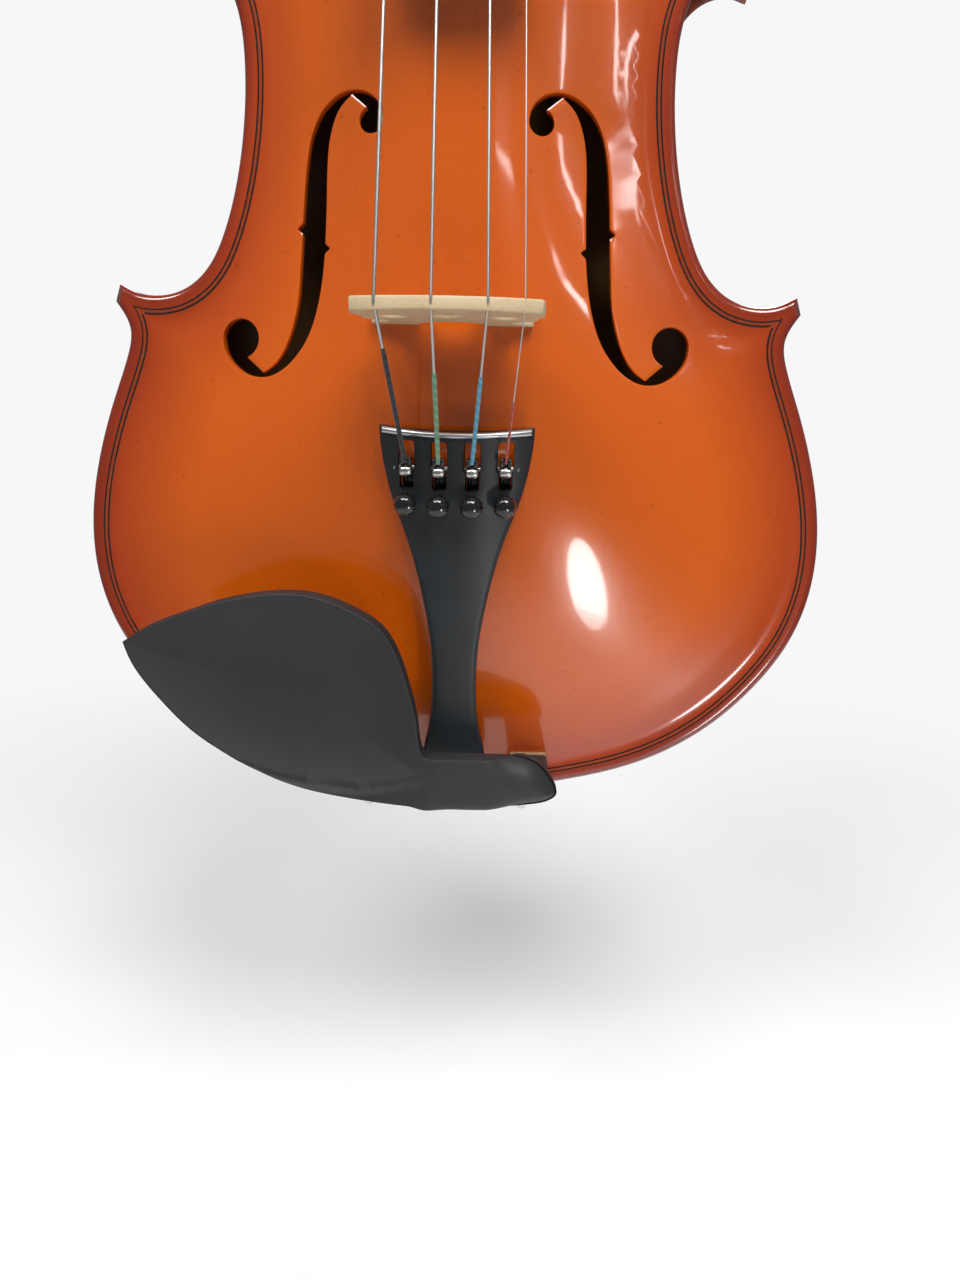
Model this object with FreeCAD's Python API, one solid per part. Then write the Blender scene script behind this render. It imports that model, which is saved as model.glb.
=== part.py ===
import FreeCAD, Part
import math
import os

# A full-size violin, standing upright: +Z to the scroll, the front faces -Y, the treble side is +X.
# The origin is on the end button's axis, at the middle of its round head. Millimetres.
V = FreeCAD.Vector

# the box
rib_depth = 30.0
rib_thickness = 1.1
edge = 4.0                  # plate thickness at the edge
overhang = 2.7              # the plates stand this far outside the ribs
rib_face_z = 9.0            # the bottom rib's outer face
plate_foot = rib_face_z - overhang
body_length = 355.8
front_rise = 15.5
back_rise = 14.5
front_wood = 3.0            # plate thickness at the middle
back_wood = 3.6
ledge_drop = 0.4            # the hollow starts this much above the glued rim
front_y = -rib_depth / 2 - edge
purfling_inset = 3.6
purfling_width = 1.3
purfling_depth = 1.8
lining_width = 2.0
lining_height = 8.0
lower_bout, lower_bout_z = 98.0, 76.0        # arching half widths, a little inside the outline
waist, waist_from, waist_to = 50.0, 185.0, 210.0
upper_bout, upper_bout_z = 78.5, 285.0
arch_start, arch_run = 5.0, 120.0

# neck, head and fingerboard
nut_at = 485.5              # along the body's axis, from the plate's foot
nut_half_width = 12.0
board_half_end = 21.0
board_length = 270.0
board_edge = 5.0
board_radius = 42.0
string_plane = (-34.0, 0.138)                # fingerboard surface at the body's edge, and its slope
peg_places = {"G": (15.5, -1), "E": (29.0, 1), "D": (43.0, -1), "A": (56.0, 1)}
peg_taper = (4.1, 3.2)
peg_blade = 5.6             # thickness of the thumb piece
running_gap = 0.05

# strings, bridge and tailpiece
crown_at, crown_y = 136.3, -69.5
crown_radius = 42.0
crown_half = 21.9
bridge_height = 36.5
bridge_foot_thick, bridge_crown_thick = 4.6, 3.0
strings = {"G": (-15.9, 0.43), "D": (-3.0, 0.39), "A": (9.5, 0.34), "E": (17.8, 0.17)}
nut_spacing = 5.5
tail_x, tail_y, tail_at = 1.8, -31.05, 2.0   # the tailpiece's tail end
tail_tilt = 7.57
tail_length = 107.2
tail_shell, tail_radius = 3.5, 46.0
tuner_pitch_u = 8.45
tuner_screw_v, tuner_pivot_v, tuner_pivot_w = 88.6, 97.0, -1.8
shank_r, head_r = 1.25, 2.95
gut_r = 0.9

# chin rest and its clamp
rest_top_y, rest_thick = -50.0, 8.0
rest_bowl = 3.9
clamp_x = (-24.0, 22.0)
clamp_z = 3.8
stud_r, barrel_r = 1.5, 3.2


def at(along):
    """Height in the row for a distance along the body from the plate's foot."""
    return along + plate_foot


def smooth(t):
    t = min(1.0, max(0.0, t))
    return t * t * (3 - 2 * t)


# outlines

lower_half = [(0, 0), (32, 3.9), (56, 10.6), (74.5, 21), (88.5, 34.5), (98, 49), (102.9, 66),
              (103.2, 80), (99.8, 98.5), (94, 115.5), (90.1, 125.5), (88.9, 132.5), (92.5, 139.6)]
waist_half = [(91, 144.2), (86.3, 141.9), (80, 141.3), (73.5, 143.1), (66.9, 148.6), (62.3, 157),
              (58, 171), (55.6, 186), (55.1, 199), (56.2, 209), (59.4, 217.3), (64.4, 223.4),
              (70.5, 226.3), (75, 226.2), (78.2, 225)]
upper_half = [(79.6, 229.2), (77.3, 232.2), (76, 237.4), (76.5, 247), (79.3, 260), (82.4, 274),
              (83.6, 288), (82.1, 303), (77.2, 318), (68.2, 331.5), (55.5, 342.5), (39, 350.2),
              (20, 354.6), (0, body_length)]


def flat(x, along):
    return V(x, 0, at(along))


def mirrored(points):
    return [(-x, z) for x, z in points]


def spline(points):
    curve = Part.BSplineCurve()
    curve.interpolate(points)
    return curve


def bouts():
    """The outline's four curves, anticlockwise seen from the front: lower, treble waist, upper, bass waist."""
    lower = mirrored(lower_half[:0:-1]) + lower_half
    upper = upper_half + mirrored(upper_half[-2::-1])
    shapes = [lower, waist_half, upper, mirrored(waist_half[::-1])]
    return [spline([flat(x, z) for x, z in shape]) for shape in shapes]


bout_curves = bouts()
bout_edges = [curve.toShape() for curve in bout_curves]


def inward(curve, t, inset):
    tangent = curve.tangent(t)[0]
    return curve.value(t) + V(-tangent.z, 0, tangent.x) * inset


def clear(index, t, inset):
    point = Part.Vertex(inward(bout_curves[index], t, inset))
    return all(point.distToShape(bout_edges[k])[0] >= inset - 1e-4 for k in range(4) if k != index)


def inset_bout(index, inset, samples=46):
    """One bout moved inwards, ending where it meets its neighbours on the corners' mitres."""
    curve = bout_curves[index]
    ends = []
    for bad, step in ((curve.FirstParameter, 1), (curve.LastParameter, -1)):
        span = (curve.LastParameter - curve.FirstParameter) * step
        good = bad + span * 0.2
        for _ in range(22):
            middle = (bad + good) / 2
            if clear(index, middle, inset):
                good = middle
            else:
                bad = middle
        ends.append(good)
    start, end = ends
    steps = [start + (end - start) * k / (samples - 1) for k in range(samples)]
    return [inward(curve, t, inset) for t in steps]


def closed_wire(point_runs):
    """Splines through each run of points, joined end to end by sharing their corner points."""
    runs = [list(run) for run in point_runs]
    for k, run in enumerate(runs):
        run[-1] = runs[(k + 1) % len(runs)][0]
    return Part.Wire([spline(run).toShape() for run in runs])


def outline_wire():
    edges = []
    for k, curve in enumerate(bout_curves):
        following = bout_curves[(k + 1) % 4]
        edges.append(bout_edges[k])
        edges.append(Part.makeLine(curve.value(curve.LastParameter), following.value(following.FirstParameter)))
    return Part.Wire(edges)


insets = {}


def inset_wire(inset):
    if inset not in insets:
        insets[inset] = closed_wire([inset_bout(k, inset) for k in range(4)])
    return insets[inset]


def slab(wire, y_from, y_to):
    """The solid inside a wire lying in the plane Y = 0, between two depths."""
    face = Part.Face(wire.copy())
    face.translate(V(0, y_from, 0))
    return face.extrude(V(0, y_to - y_from, 0))


def box(x0, x1, y0, y1, z0, z1):
    return Part.makeBox(x1 - x0, y1 - y0, z1 - z0, V(x0, y0, z0))


def rod(radius, start, end):
    way = end - start
    return Part.makeCylinder(radius, way.Length, start, way)


# arched plates

def arch_width(along):
    """Half width of the arching: an ellipse at each end, easing to the waist between them."""
    if along <= lower_bout_z:
        part = (lower_bout_z - along) / lower_bout_z
        return lower_bout * math.sqrt(max(0.0, 1 - part * part))
    if along <= waist_from:
        return lower_bout + (waist - lower_bout) * smooth((along - lower_bout_z) / (waist_from - lower_bout_z))
    if along <= waist_to:
        return waist
    if along <= upper_bout_z:
        return waist + (upper_bout - waist) * smooth((along - waist_to) / (upper_bout_z - waist_to))
    part = (along - upper_bout_z) / (body_length - upper_bout_z)
    return upper_bout * math.sqrt(max(0.0, 1 - part * part))


def arch(x, along):
    """Height of the arching, 0 at the edge and 1 at the middle."""
    run = min(1.0, max(0.0, (min(along, body_length - along) - arch_start) / arch_run))
    along_share = (1 - (1 - run) ** 2) ** 1.25
    width = arch_width(along)
    if width < 1 or abs(x) >= width:
        return 0.0
    across = (x / width) ** 2
    return along_share * (1 - across) ** 2 * (1 + 0.25 * across)


def arched_face(base_y, rise, side):
    """The surface Y = base + side * rise * arch, over a rectangle larger than the outline."""
    columns, rows, reach = 37, 65, 112.0
    grid = []
    for i in range(columns):
        x = -reach + 2 * reach * i / (columns - 1)
        line = []
        for j in range(rows):
            along = -8 + (body_length + 30) * j / (rows - 1)
            line.append(V(x, base_y + side * rise * arch(x, along), at(along)))
        grid.append(line)
    surface = Part.BSplineSurface()
    surface.interpolate(grid)
    return surface.toShape()


def plate(side, rise, wood, outline):
    """A plate on the ribs' front (side -1) or back (side 1): flat where it is glued, hollow inside."""
    glue_y = side * rib_depth / 2
    outer = arched_face(glue_y + side * edge, rise, side).extrude(V(0, -side * 60, 0))
    hollow_rise = rise + edge - wood - ledge_drop
    hollow = arched_face(glue_y + side * ledge_drop, hollow_rise, side).extrude(V(0, -side * 60, 0))
    blank = outline.common(outer)
    inside = slab(inset_wire(overhang + rib_thickness + lining_width), glue_y + side * 40, glue_y - side * 5)
    return blank.cut(hollow.common(inside)), outer, hollow


def blank_prism(side):
    glue_y = side * rib_depth / 2
    prism = slab(outline_wire(), glue_y, glue_y + side * 40)
    if side > 0:
        button = Part.makeCylinder(10.2, 40, V(0, glue_y, at(body_length + 2.5)), V(0, 1, 0))
        prism = prism.fuse(button.fuse(box(-10.2, 10.2, glue_y, glue_y + 40, at(body_length - 4), at(body_length + 2.5))))
    return prism


# sound holes

upper_eye, lower_eye = (-21.0, 182.3, 3.1), (-57.5, 130.3, 5.1)
hole_outer = [(-17.9, 182.3), (-18.5, 184.9), (-20.0, 187.0), (-22.4, 188.6), (-25.6, 189.3), (-28.7, 189.0),
              (-31.3, 187.8), (-33.8, 185.8), (-35.8, 183.0), (-37.2, 179.8), (-38.1, 176.2), (-38.7, 172.3),
              (-39.3, 166.0), (-39.7, 160.0), (-40.0, 153.5), (-40.4, 147.0), (-40.8, 141.4), (-41.5, 137.1),
              (-42.5, 133.3), (-43.9, 129.5), (-45.8, 126.0), (-48.2, 123.3), (-50.9, 121.5)]
hole_inner = [(-62.6, 130.3), (-62.2, 127.6), (-61.1, 125.4), (-59.4, 123.4), (-57.2, 121.8), (-54.9, 120.8),
              (-52.5, 120.4), (-50.1, 120.5), (-47.8, 121.2), (-45.3, 122.6), (-42.9, 124.6), (-40.6, 127.2),
              (-38.7, 130.1), (-37.0, 133.8), (-35.8, 137.6), (-34.9, 141.6), (-34.2, 146.0), (-33.7, 151.0),
              (-33.4, 157.0), (-33.2, 163.0), (-33.1, 169.0), (-32.9, 173.5), (-32.4, 178.0), (-31.3, 182.0),
              (-29.4, 185.6), (-26.1, 188.4)]
nick_depth, nick_half = 1.5, 1.2


def sound_hole():
    """The bass sound hole: two round eyes, a curved stem between them, and a nick on each side."""
    ux, uz, ur = upper_eye
    lx, lz, lr = lower_eye

    def on(cx, cz, radius, degrees):
        turn = math.radians(degrees)
        return flat(cx + radius * math.cos(turn), cz + radius * math.sin(turn))

    outer = [flat(x, z) for x, z in hole_outer]
    inner = [flat(x, z) for x, z in hole_inner]
    edges = [spline(outer).toShape(),
             Part.makeLine(outer[-1], on(lx, lz, lr, -70)),
             Part.Arc(on(lx, lz, lr, -70), on(lx, lz, lr, 55), inner[0]).toShape(),
             spline(inner).toShape(),
             Part.makeLine(inner[-1], on(ux, uz, ur, 112)),
             Part.Arc(on(ux, uz, ur, 112), on(ux, uz, ur, 235), outer[0]).toShape()]
    cutter = slab(Part.Wire(edges), -60, 0)
    for x, z, way in ((-39.8, 157.8, -1), (-33.6, 152.6, 1)):
        nick = [flat(x - way * 0.4, z - nick_half), flat(x + way * nick_depth, z), flat(x - way * 0.4, z + nick_half)]
        cutter = cutter.fuse(slab(Part.makePolygon(nick + nick[:1]), -60, 0))
    return cutter


def both_sides(shape):
    return shape.fuse(shape.mirror(V(0, 0, 0), V(1, 0, 0)))


# ribs, blocks and linings

def rib(index, half=0):
    """A rib between its outer and inner curves; half keeps one side of the centre line."""
    outer, inner = inset_bout(index, overhang), inset_bout(index, overhang + rib_thickness)
    wire = Part.Wire([spline(outer).toShape(), Part.makeLine(outer[-1], inner[-1]),
                      spline(inner[::-1]).toShape(), Part.makeLine(inner[0], outer[0])])
    strip = slab(wire, -rib_depth / 2, rib_depth / 2)
    if half:
        strip = strip.common(box(min(0, half * 150), max(0, half * 150), -50, 50, -20, 500))
    return strip


def block(x0, x1, along0, along1):
    inside = slab(inset_wire(overhang + rib_thickness), -rib_depth / 2, rib_depth / 2)
    return inside.common(box(x0, x1, -rib_depth / 2, rib_depth / 2, at(along0), at(along1)))


def corner_block(points):
    inside = slab(inset_wire(overhang + rib_thickness), -rib_depth / 2, rib_depth / 2)
    corners = [flat(x, z) for x, z in points]
    return inside.common(slab(Part.makePolygon(corners + corners[:1]), -rib_depth / 2, rib_depth / 2))


def linings(blocks):
    """Strips round the inside of the ribs, at the front and at the back, between the blocks."""
    outer = inset_wire(overhang + rib_thickness)
    inner = inset_wire(overhang + rib_thickness + lining_width)
    treble = box(0, 150, -50, 50, -20, 500)
    strips = []
    for side in (-1, 1):
        glue, inside = side * rib_depth / 2, side * (rib_depth / 2 - lining_height)
        ring = slab(outer, inside, glue).cut(slab(inner, inside - side, glue + side)).common(treble)
        for block_solid in blocks:
            ring = ring.cut(block_solid)
        strips += ring.Solids + ring.mirror(V(0, 0, 0), V(1, 0, 0)).Solids
    return Part.makeCompound(strips)


def purfling(side):
    ring = slab(inset_wire(purfling_inset), side * (rib_depth / 2 + edge - purfling_depth), side * 40)
    return ring.cut(slab(inset_wire(purfling_inset + purfling_width), 0, side * 50))


# neck, head, fingerboard

def board_half(along):
    return nut_half_width + (nut_at - along) * (board_half_end - nut_half_width) / board_length


def board_top(along):
    return string_plane[0] + string_plane[1] * (along - body_length)


def sagitta(half, radius):
    return radius - math.sqrt(radius * radius - half * half)


def board_under(along):
    return board_top(along) + sagitta(board_half(along), board_radius) + board_edge


def neck_section(along, back_y):
    half, front = board_half(along), board_under(along)
    depth = back_y - front
    side = [(1, 0), (0.985, 0.3), (0.83, 0.68), (0.5, 0.93), (0, 1)]
    points = [V(half * u, front + depth * w, at(along)) for u, w in side]
    points += [V(-p.x, p.y, p.z) for p in points[-2::-1]]
    return Part.Wire([spline(points).toShape(), Part.makeLine(points[-1], points[0])])


neck_profile = [(349, 20), (357, 20), (365, 17), (372, 6), (379, -2.5), (391, -7.6), (420, -5.6),
                (455, -1), (nut_at + 1, 3.4)]
head_front = [(nut_at, -9.4), (512, -4.4), (538, 1.5), (549, 4.2)]
head_back = [(nut_at, 3.4), (491, 6.8), (503, 13.5), (522, 18.3), (545, 20), (562, 19.5)]
scroll_centre = (-2.0, 571.0)
scroll_turns = [(21.0, 6.6), (17.0, 10.5), (12.5, 15.0), (5.2, 20.8)]   # radius and half width of each turn
wall = 3.6
floor_wood = 4.8


def side_point(pair_of_values):
    along, y = pair_of_values
    return V(0, y, at(along))


def head_blank():
    """Pegbox: its side view carried across, then narrowed towards the scroll."""
    front = [side_point(p) for p in head_front]
    back = [side_point(p) for p in head_back]
    end = V(0, 5, at(562))
    wire = Part.Wire([spline(front).toShape(), Part.makeLine(front[-1], end), Part.makeLine(end, back[-1]),
                      spline(back[::-1]).toShape(), Part.makeLine(back[0], front[0])])
    body = Part.Face(wire).extrude(V(40, 0, 0))
    body.translate(V(-20, 0, 0))
    return body.common(head_taper(nut_half_width, 10.2))


def head_taper(low_half, high_half):
    low, high = at(nut_at), at(590)
    plan = [V(-low_half, -60, low), V(low_half, -60, low), V(high_half, -60, high), V(-high_half, -60, high)]
    return Part.Face(Part.makePolygon(plan + plan[:1])).extrude(V(0, 120, 0))


def trough():
    """The hollow of the pegbox, open at the front."""
    floor = [side_point((along, y - floor_wood)) for along, y in head_back[2:5]]
    start, end = V(0, 2, at(nut_at + 9)), V(0, 10, at(555))
    points = [start] + floor + [end]
    wire = Part.Wire([spline(points).toShape(), Part.makeLine(end, V(0, -40, at(555))),
                      Part.makeLine(V(0, -40, at(555)), V(0, -40, at(nut_at + 9))),
                      Part.makeLine(V(0, -40, at(nut_at + 9)), start)])
    hollow = Part.Face(wire).extrude(V(40, 0, 0))
    hollow.translate(V(-20, 0, 0))
    return hollow.common(head_taper(nut_half_width - wall + 0.6, 10.2 - wall))


def scroll():
    """The volute, as turns of falling radius that step out to the eyes."""
    y, along = scroll_centre
    turns = []
    shift = 0.0
    for k, (radius, half) in enumerate(scroll_turns):
        if k:
            shift += (scroll_turns[k - 1][0] - radius) * 0.3
        centre = V(-half, y + shift * 0.5, at(along) + shift * 0.4)
        turns.append(Part.makeCylinder(radius, 2 * half, centre, V(1, 0, 0)))
    solid = turns[0]
    for turn in turns[1:]:
        solid = solid.fuse(turn)
    return solid.removeSplitter()


def peg_axis(along):
    return 1.0 + 7.5 * (along - 501.0) / 40.5


def peg_line(name):
    """The peg's axis: the head end, then the tip end."""
    distance, side = peg_places[name]
    along = nut_at + distance
    y, z = peg_axis(along), at(along)
    return V(side * 12.6, y, z), V(-side * 12.0, y, z)


def neck_and_scroll():
    sections = [neck_section(along, back) for along, back in neck_profile]
    neck = Part.makeLoft(sections, True, False)
    neck = neck.cut(box(-60, 60, rib_depth / 2, 60, 0, at(380)))
    head = head_blank().cut(trough()).fuse(scroll())
    whole = neck.fuse(head)
    for name in peg_places:
        head_end, tip_end = peg_line(name)
        way = tip_end - head_end
        cone = Part.makeCone(peg_taper[0] + running_gap, peg_taper[1] + running_gap, way.Length, head_end, way)
        whole = whole.cut(cone)
    return whole.removeSplitter()


def board_section(along, drop=0.0, shrink=0.0):
    half = board_half(along) - shrink
    top = board_top(along) + drop
    low = board_under(along)
    shoulder = top + sagitta(half, board_radius)
    left, right = V(-half, shoulder, at(along)), V(half, shoulder, at(along))
    return Part.Wire([Part.Arc(left, V(0, top, at(along)), right).toShape(),
                      Part.makeLine(right, V(half, low, at(along))),
                      Part.makeLine(V(half, low, at(along)), V(-half, low, at(along))),
                      Part.makeLine(V(-half, low, at(along)), left)])


def fingerboard():
    end = nut_at - board_length
    board = Part.makeLoft([board_section(end), board_section(nut_at)], True, True)
    scoop = Part.makeLoft([board_section(end - 1, 5.2, 4.5), board_section(body_length - 12, 5.2, 4.5)], True, True)
    scoop_low = scoop.copy()
    scoop_low.translate(V(0, 1.5, 0))
    return board.cut(scoop.fuse(scoop_low))


def string_route(name):
    """The string's corner points: ball end, bridge crown, nut, winding."""
    x, radius = strings[name]
    order = list(strings).index(name)
    crown = V(x, crown_y + sagitta(x, crown_radius) - radius * 0.2, at(crown_at))
    nut_x = (order - 1.5) * nut_spacing
    nut = V(nut_x, board_top(nut_at) + sagitta(nut_x, board_radius) - 0.55 - radius * 0.3, at(nut_at + 3))
    distance, side = peg_places[name]
    along = nut_at + distance
    wind = V(winding_x[name], peg_axis(along) - winding_r - radius - 0.1, at(along))
    slot = tail_point(tuner_u(order), 99.3, 2.2 - tuner_sag(order) + 0.43 * 2.3)
    return [slot, crown, nut, wind], radius


winding_r = 5.0
winding_x = {"G": -4.6, "D": -2.6, "A": 2.6, "E": 4.6}


def string(name):
    points, radius = string_route(name)
    solid = None
    for start, end in zip(points, points[1:]):
        run = rod(radius, start, end)
        solid = run if solid is None else solid.fuse(run)
    for corner in points[1:-1]:
        solid = solid.fuse(Part.makeSphere(radius, corner))
    return solid.removeSplitter()


def nut():
    z0, z1 = at(nut_at), at(nut_at + 6)
    top = board_top(nut_at) - 0.7
    half = nut_half_width
    under = board_under(nut_at)
    left, right = V(-half, top + sagitta(half, board_radius), z0), V(half, top + sagitta(half, board_radius), z0)
    wire = Part.Wire([Part.Arc(left, V(0, top, z0), right).toShape(), Part.makeLine(right, V(half, under, z0)),
                      Part.makeLine(V(half, under, z0), V(-half, under, z0)), Part.makeLine(V(-half, under, z0), left)])
    return Part.Face(wire).extrude(V(0, 0, z1 - z0))


def peg(name):
    """Tapered shank, collar and a flat heart-shaped thumb piece."""
    head_end, tip_end = peg_line(name)
    way = tip_end - head_end
    side = 1 if head_end.x > 0 else -1
    shank = Part.makeCone(peg_taper[0], peg_taper[1], way.Length, head_end, way)
    collar_end = head_end + V(side * 3.5, 0, 0)
    collar = Part.makeCone(5.8, 4.6, 3.5, head_end + V(side * 0.4, 0, 0), V(side, 0, 0))
    stem = rod(3.0, head_end, collar_end + V(side * 3, 0, 0))
    heart = [(0, 2.4), (3, 4.0), (8, 6.9), (14, 7.3), (18.5, 4.6), (19.6, 0)]
    heart += [(u, -w) for u, w in heart[-2::-1]]
    rim = spline([collar_end + V(side * u, 0, w) for u, w in heart])
    blade = Part.Face(Part.Wire([rim.toShape(), Part.makeLine(rim.EndPoint, rim.StartPoint)]))
    blade.translate(V(0, -peg_blade / 2, 0))
    thumb = blade.extrude(V(0, peg_blade, 0))
    return shank.fuse([collar, stem, thumb]).removeSplitter()


def winding(name):
    head_end, tip_end = peg_line(name)
    centre = V(winding_x[name], head_end.y, head_end.z)
    half = 2.2
    ring = rod(winding_r, centre - V(half, 0, 0), centre + V(half, 0, 0))
    way = tip_end - head_end
    shank = Part.makeCone(peg_taper[0], peg_taper[1], way.Length, head_end, way)
    return ring.cut(shank)


# saddle, button, gut

def saddle():
    block_solid = box(-17, 17, -rib_depth / 2 - edge - 4.0, -rib_depth / 2, at(0.2), at(6.4))
    return block_solid.makeFillet(1.8, [e for e in block_solid.Edges
                                        if abs(e.CenterOfMass.y + rib_depth / 2 + edge + 4.0) < 0.01
                                        and abs(e.CenterOfMass.x) < 0.01])


def saddle_pocket():
    return box(-17, 17, -60, -rib_depth / 2, at(-2), at(6.4))


button_head_r, button_neck_r, button_shank_r = 7.25, 5.0, 4.0
button_top, button_end, button_dome = 3.0, -4.36, 20.0


def end_button():
    """Turned button: shank in the block, a waist for the gut, a round head with a domed end."""
    shank = Part.makeCone(button_shank_r, 3.3, 21.0, V(0, 0, rib_face_z))
    waist_part = Part.makeCylinder(button_neck_r, rib_face_z - button_top, V(0, 0, button_top))
    head = Part.makeCylinder(button_head_r, button_top - button_end, V(0, 0, button_end))
    dome = Part.makeSphere(button_dome, V(0, 0, button_end + button_dome))
    return head.common(dome).fuse([waist_part, shank]).removeSplitter()


def gut_wire():
    """Out of the tailpiece, over the saddle, down and round the button's waist, and back."""
    x = button_neck_r + gut_r + 0.1
    z_low, y_over = rib_face_z - 3.9, -rib_depth / 2 - edge - 4.0 - gut_r - 0.05
    bend = 2.8
    starts = [V(side * 4.2 + tail_x * 0.9, -29.0, at(17.0)) for side in (1, -1)]
    tops = [V(side * x, y_over, at(3.6)) for side in (1, -1)]
    edges = []
    for start, top, flip in ((starts[0], tops[0], 1), (starts[1], tops[1], -1)):
        low = V(top.x, y_over + bend, z_low)
        middle = V(top.x, y_over + bend * (1 - math.sqrt(0.5)), z_low + bend * (1 - math.sqrt(0.5)))
        bend_top = V(top.x, y_over, z_low + bend)
        leg = [Part.makeLine(start, top), Part.makeLine(top, bend_top),
               Part.Arc(bend_top, middle, low).toShape(), Part.makeLine(low, V(top.x, 0, z_low))]
        edges.append(leg if flip > 0 else leg[::-1])
    loop = Part.Arc(V(x, 0, z_low), V(0, x, z_low), V(-x, 0, z_low)).toShape()
    return Part.Wire(edges[0] + [loop] + edges[1])


def tail_gut():
    wire = gut_wire()
    first = wire.OrderedEdges[0]
    start = first.valueAt(first.FirstParameter)
    heading = first.tangentAt(first.FirstParameter)
    ring = Part.Wire([Part.makeCircle(gut_r, start, heading)])
    return wire.makePipeShell([ring], True, False, 2)


# tailpiece and fine tuners

def tail_placement():
    tilt = FreeCAD.Rotation(V(1, 0, 0), tail_tilt)
    return FreeCAD.Placement(V(tail_x, tail_y, at(tail_at)), tilt)


def tail_point(u, v, w):
    return tail_placement().multVec(V(u, -w, v))


def placed(shape):
    moved = shape.copy()
    moved.Placement = tail_placement().multiply(moved.Placement)
    return moved


def local_box(u0, u1, v0, v1, w0, w1):
    return box(u0, u1, -w1, -w0, v0, v1)


def tuner_u(order):
    return (order - 1.5) * tuner_pitch_u


def tuner_sag(order):
    return sagitta(tuner_u(order), tail_radius)


tail_half = [(7.4, 0), (8.6, 6), (8.9, 14), (7.8, 20), (6.7, 26), (6.1, 34), (6.1, 41), (6.8, 50.6), (8.7, 62),
             (12.1, 75.7), (14.9, 83.6), (17.0, 89.5), (18.8, 97), (19.8, 104), (19.9, tail_length)]


def tail_blank():
    """The tailpiece's outline carried through its depth: narrow waist, wide end slightly hollow."""
    right = [V(u, 0, v) for u, v in tail_half]
    left = [V(-u, 0, v) for u, v in tail_half]
    wire = Part.Wire([spline(right).toShape(), Part.Arc(right[-1], V(0, 0, tail_length - 0.5), left[-1]).toShape(),
                      spline(left[::-1]).toShape(), Part.Arc(left[0], V(0, 0, -1.2), right[0]).toShape()])
    face = Part.Face(wire)
    face.translate(V(0, -12, 0))
    return face.extrude(V(0, 40, 0))


def tail_cylinder(radius):
    return Part.makeCylinder(radius, tail_length + 20, V(0, tail_radius, -10), V(0, 0, 1))


def tailpiece():
    body = tail_blank().common(tail_cylinder(tail_radius)).cut(tail_cylinder(tail_radius - tail_shell))
    for order in range(4):
        u, w = tuner_u(order), -tuner_sag(order)
        slot = local_box(u - 2.1, u + 2.1, 96.5, 104.2, -14, 4).fuse(local_box(u - 1.8, u + 1.8, 91.5, 97, -14, 4))
        screw = rod(shank_r + running_gap, V(u, 14, tuner_screw_v), V(u, -6, tuner_screw_v))
        pin = rod(0.8, V(u - 3.4, -(w + tuner_pivot_w), tuner_pivot_v), V(u + 3.4, -(w + tuner_pivot_w), tuner_pivot_v))
        body = body.cut(slot).cut(screw).cut(pin)
    return body


def tail_fret():
    band = tail_cylinder(tail_radius + 0.9).cut(tail_cylinder(tail_radius - 1.0))
    return band.common(local_box(-19.0, 19.0, tail_length - 1.7, tail_length + 1, -14, 6)).common(tail_blank())


def pivot_pins():
    pins = []
    for order in range(4):
        u, w = tuner_u(order), -tuner_sag(order)
        y = -(w + tuner_pivot_w)
        pins.append(rod(0.8, V(u - 3.4, y, tuner_pivot_v), V(u + 3.4, y, tuner_pivot_v)))
    return Part.makeCompound(pins)


lever_arm = [(86.0, -6.9), (86.0, -5.5), (94.4, -5.5), (95.2, -3.2), (95.2, -0.6), (96.4, 0.5), (98.5, 0.6),
             (98.5, 3.7), (100.6, 3.9), (100.5, 0.4), (99.2, -2.2), (98.2, -6.9)]
screw_tip, screw_top = -5.38, 4.2


def lever(order):
    """Fork, hub and arm of one fine tuner, cut from one side view."""
    u, sag = tuner_u(order), tuner_sag(order)
    corners = [V(u - 1.5, -(w - sag), v) for v, w in lever_arm]
    solid = Part.Face(Part.makePolygon(corners + corners[:1])).extrude(V(3.0, 0, 0))
    gap = local_box(u - 0.6, u + 0.6, 98.0, 101.5, 0.9 - sag, 5)
    y = sag - tuner_pivot_w
    hub = rod(0.8 + running_gap, V(u - 3, y, tuner_pivot_v), V(u + 3, y, tuner_pivot_v))
    return solid.cut(gap).cut(hub)


def string_ball(order):
    u, y = tuner_u(order), tuner_sag(order) - 2.2
    return rod(1.5, V(u - 1.6, y, 96.95), V(u + 1.6, y, 96.95))


def shank(order):
    """Screw with a blunt point that rests on the lever's arm."""
    u, sag = tuner_u(order), tuner_sag(order)
    point_end, point_length = V(u, sag - screw_tip, tuner_screw_v), 0.8
    point = Part.makeCone(0.6, shank_r, point_length, point_end, V(0, -1, 0))
    straight = rod(shank_r, point_end - V(0, point_length, 0), V(u, sag - screw_top, tuner_screw_v))
    return point.fuse(straight).removeSplitter()


def tuner_head(order):
    """Ball-shaped screw head, cut flat and bored for its shank."""
    u, sag = tuner_u(order), tuner_sag(order)
    low = 1.9
    head = Part.makeSphere(head_r, V(0, 0, low + 1.6))
    head = head.cut(box(-5, 5, -5, 5, -5, low))
    head = head.cut(Part.makeCylinder(shank_r + running_gap, 2.4, V(0, 0, low)))
    head.rotate(V(0, 0, 0), V(1, 0, 0), 90)
    head.translate(V(u, sag, tuner_screw_v))
    return head


# bridge

bridge_side = [(20.3, 0), (20.6, 1.6), (18.0, 3.4), (15.6, 6.0), (15.2, 9.0), (17.2, 11.6), (20.2, 13.4),
               (21.3, 15.6), (20.6, 17.4)]
bridge_wing = [(20.8, 19.6), (22.3, 22.5), (22.6, 26.0), (crown_half, 30.4)]


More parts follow.
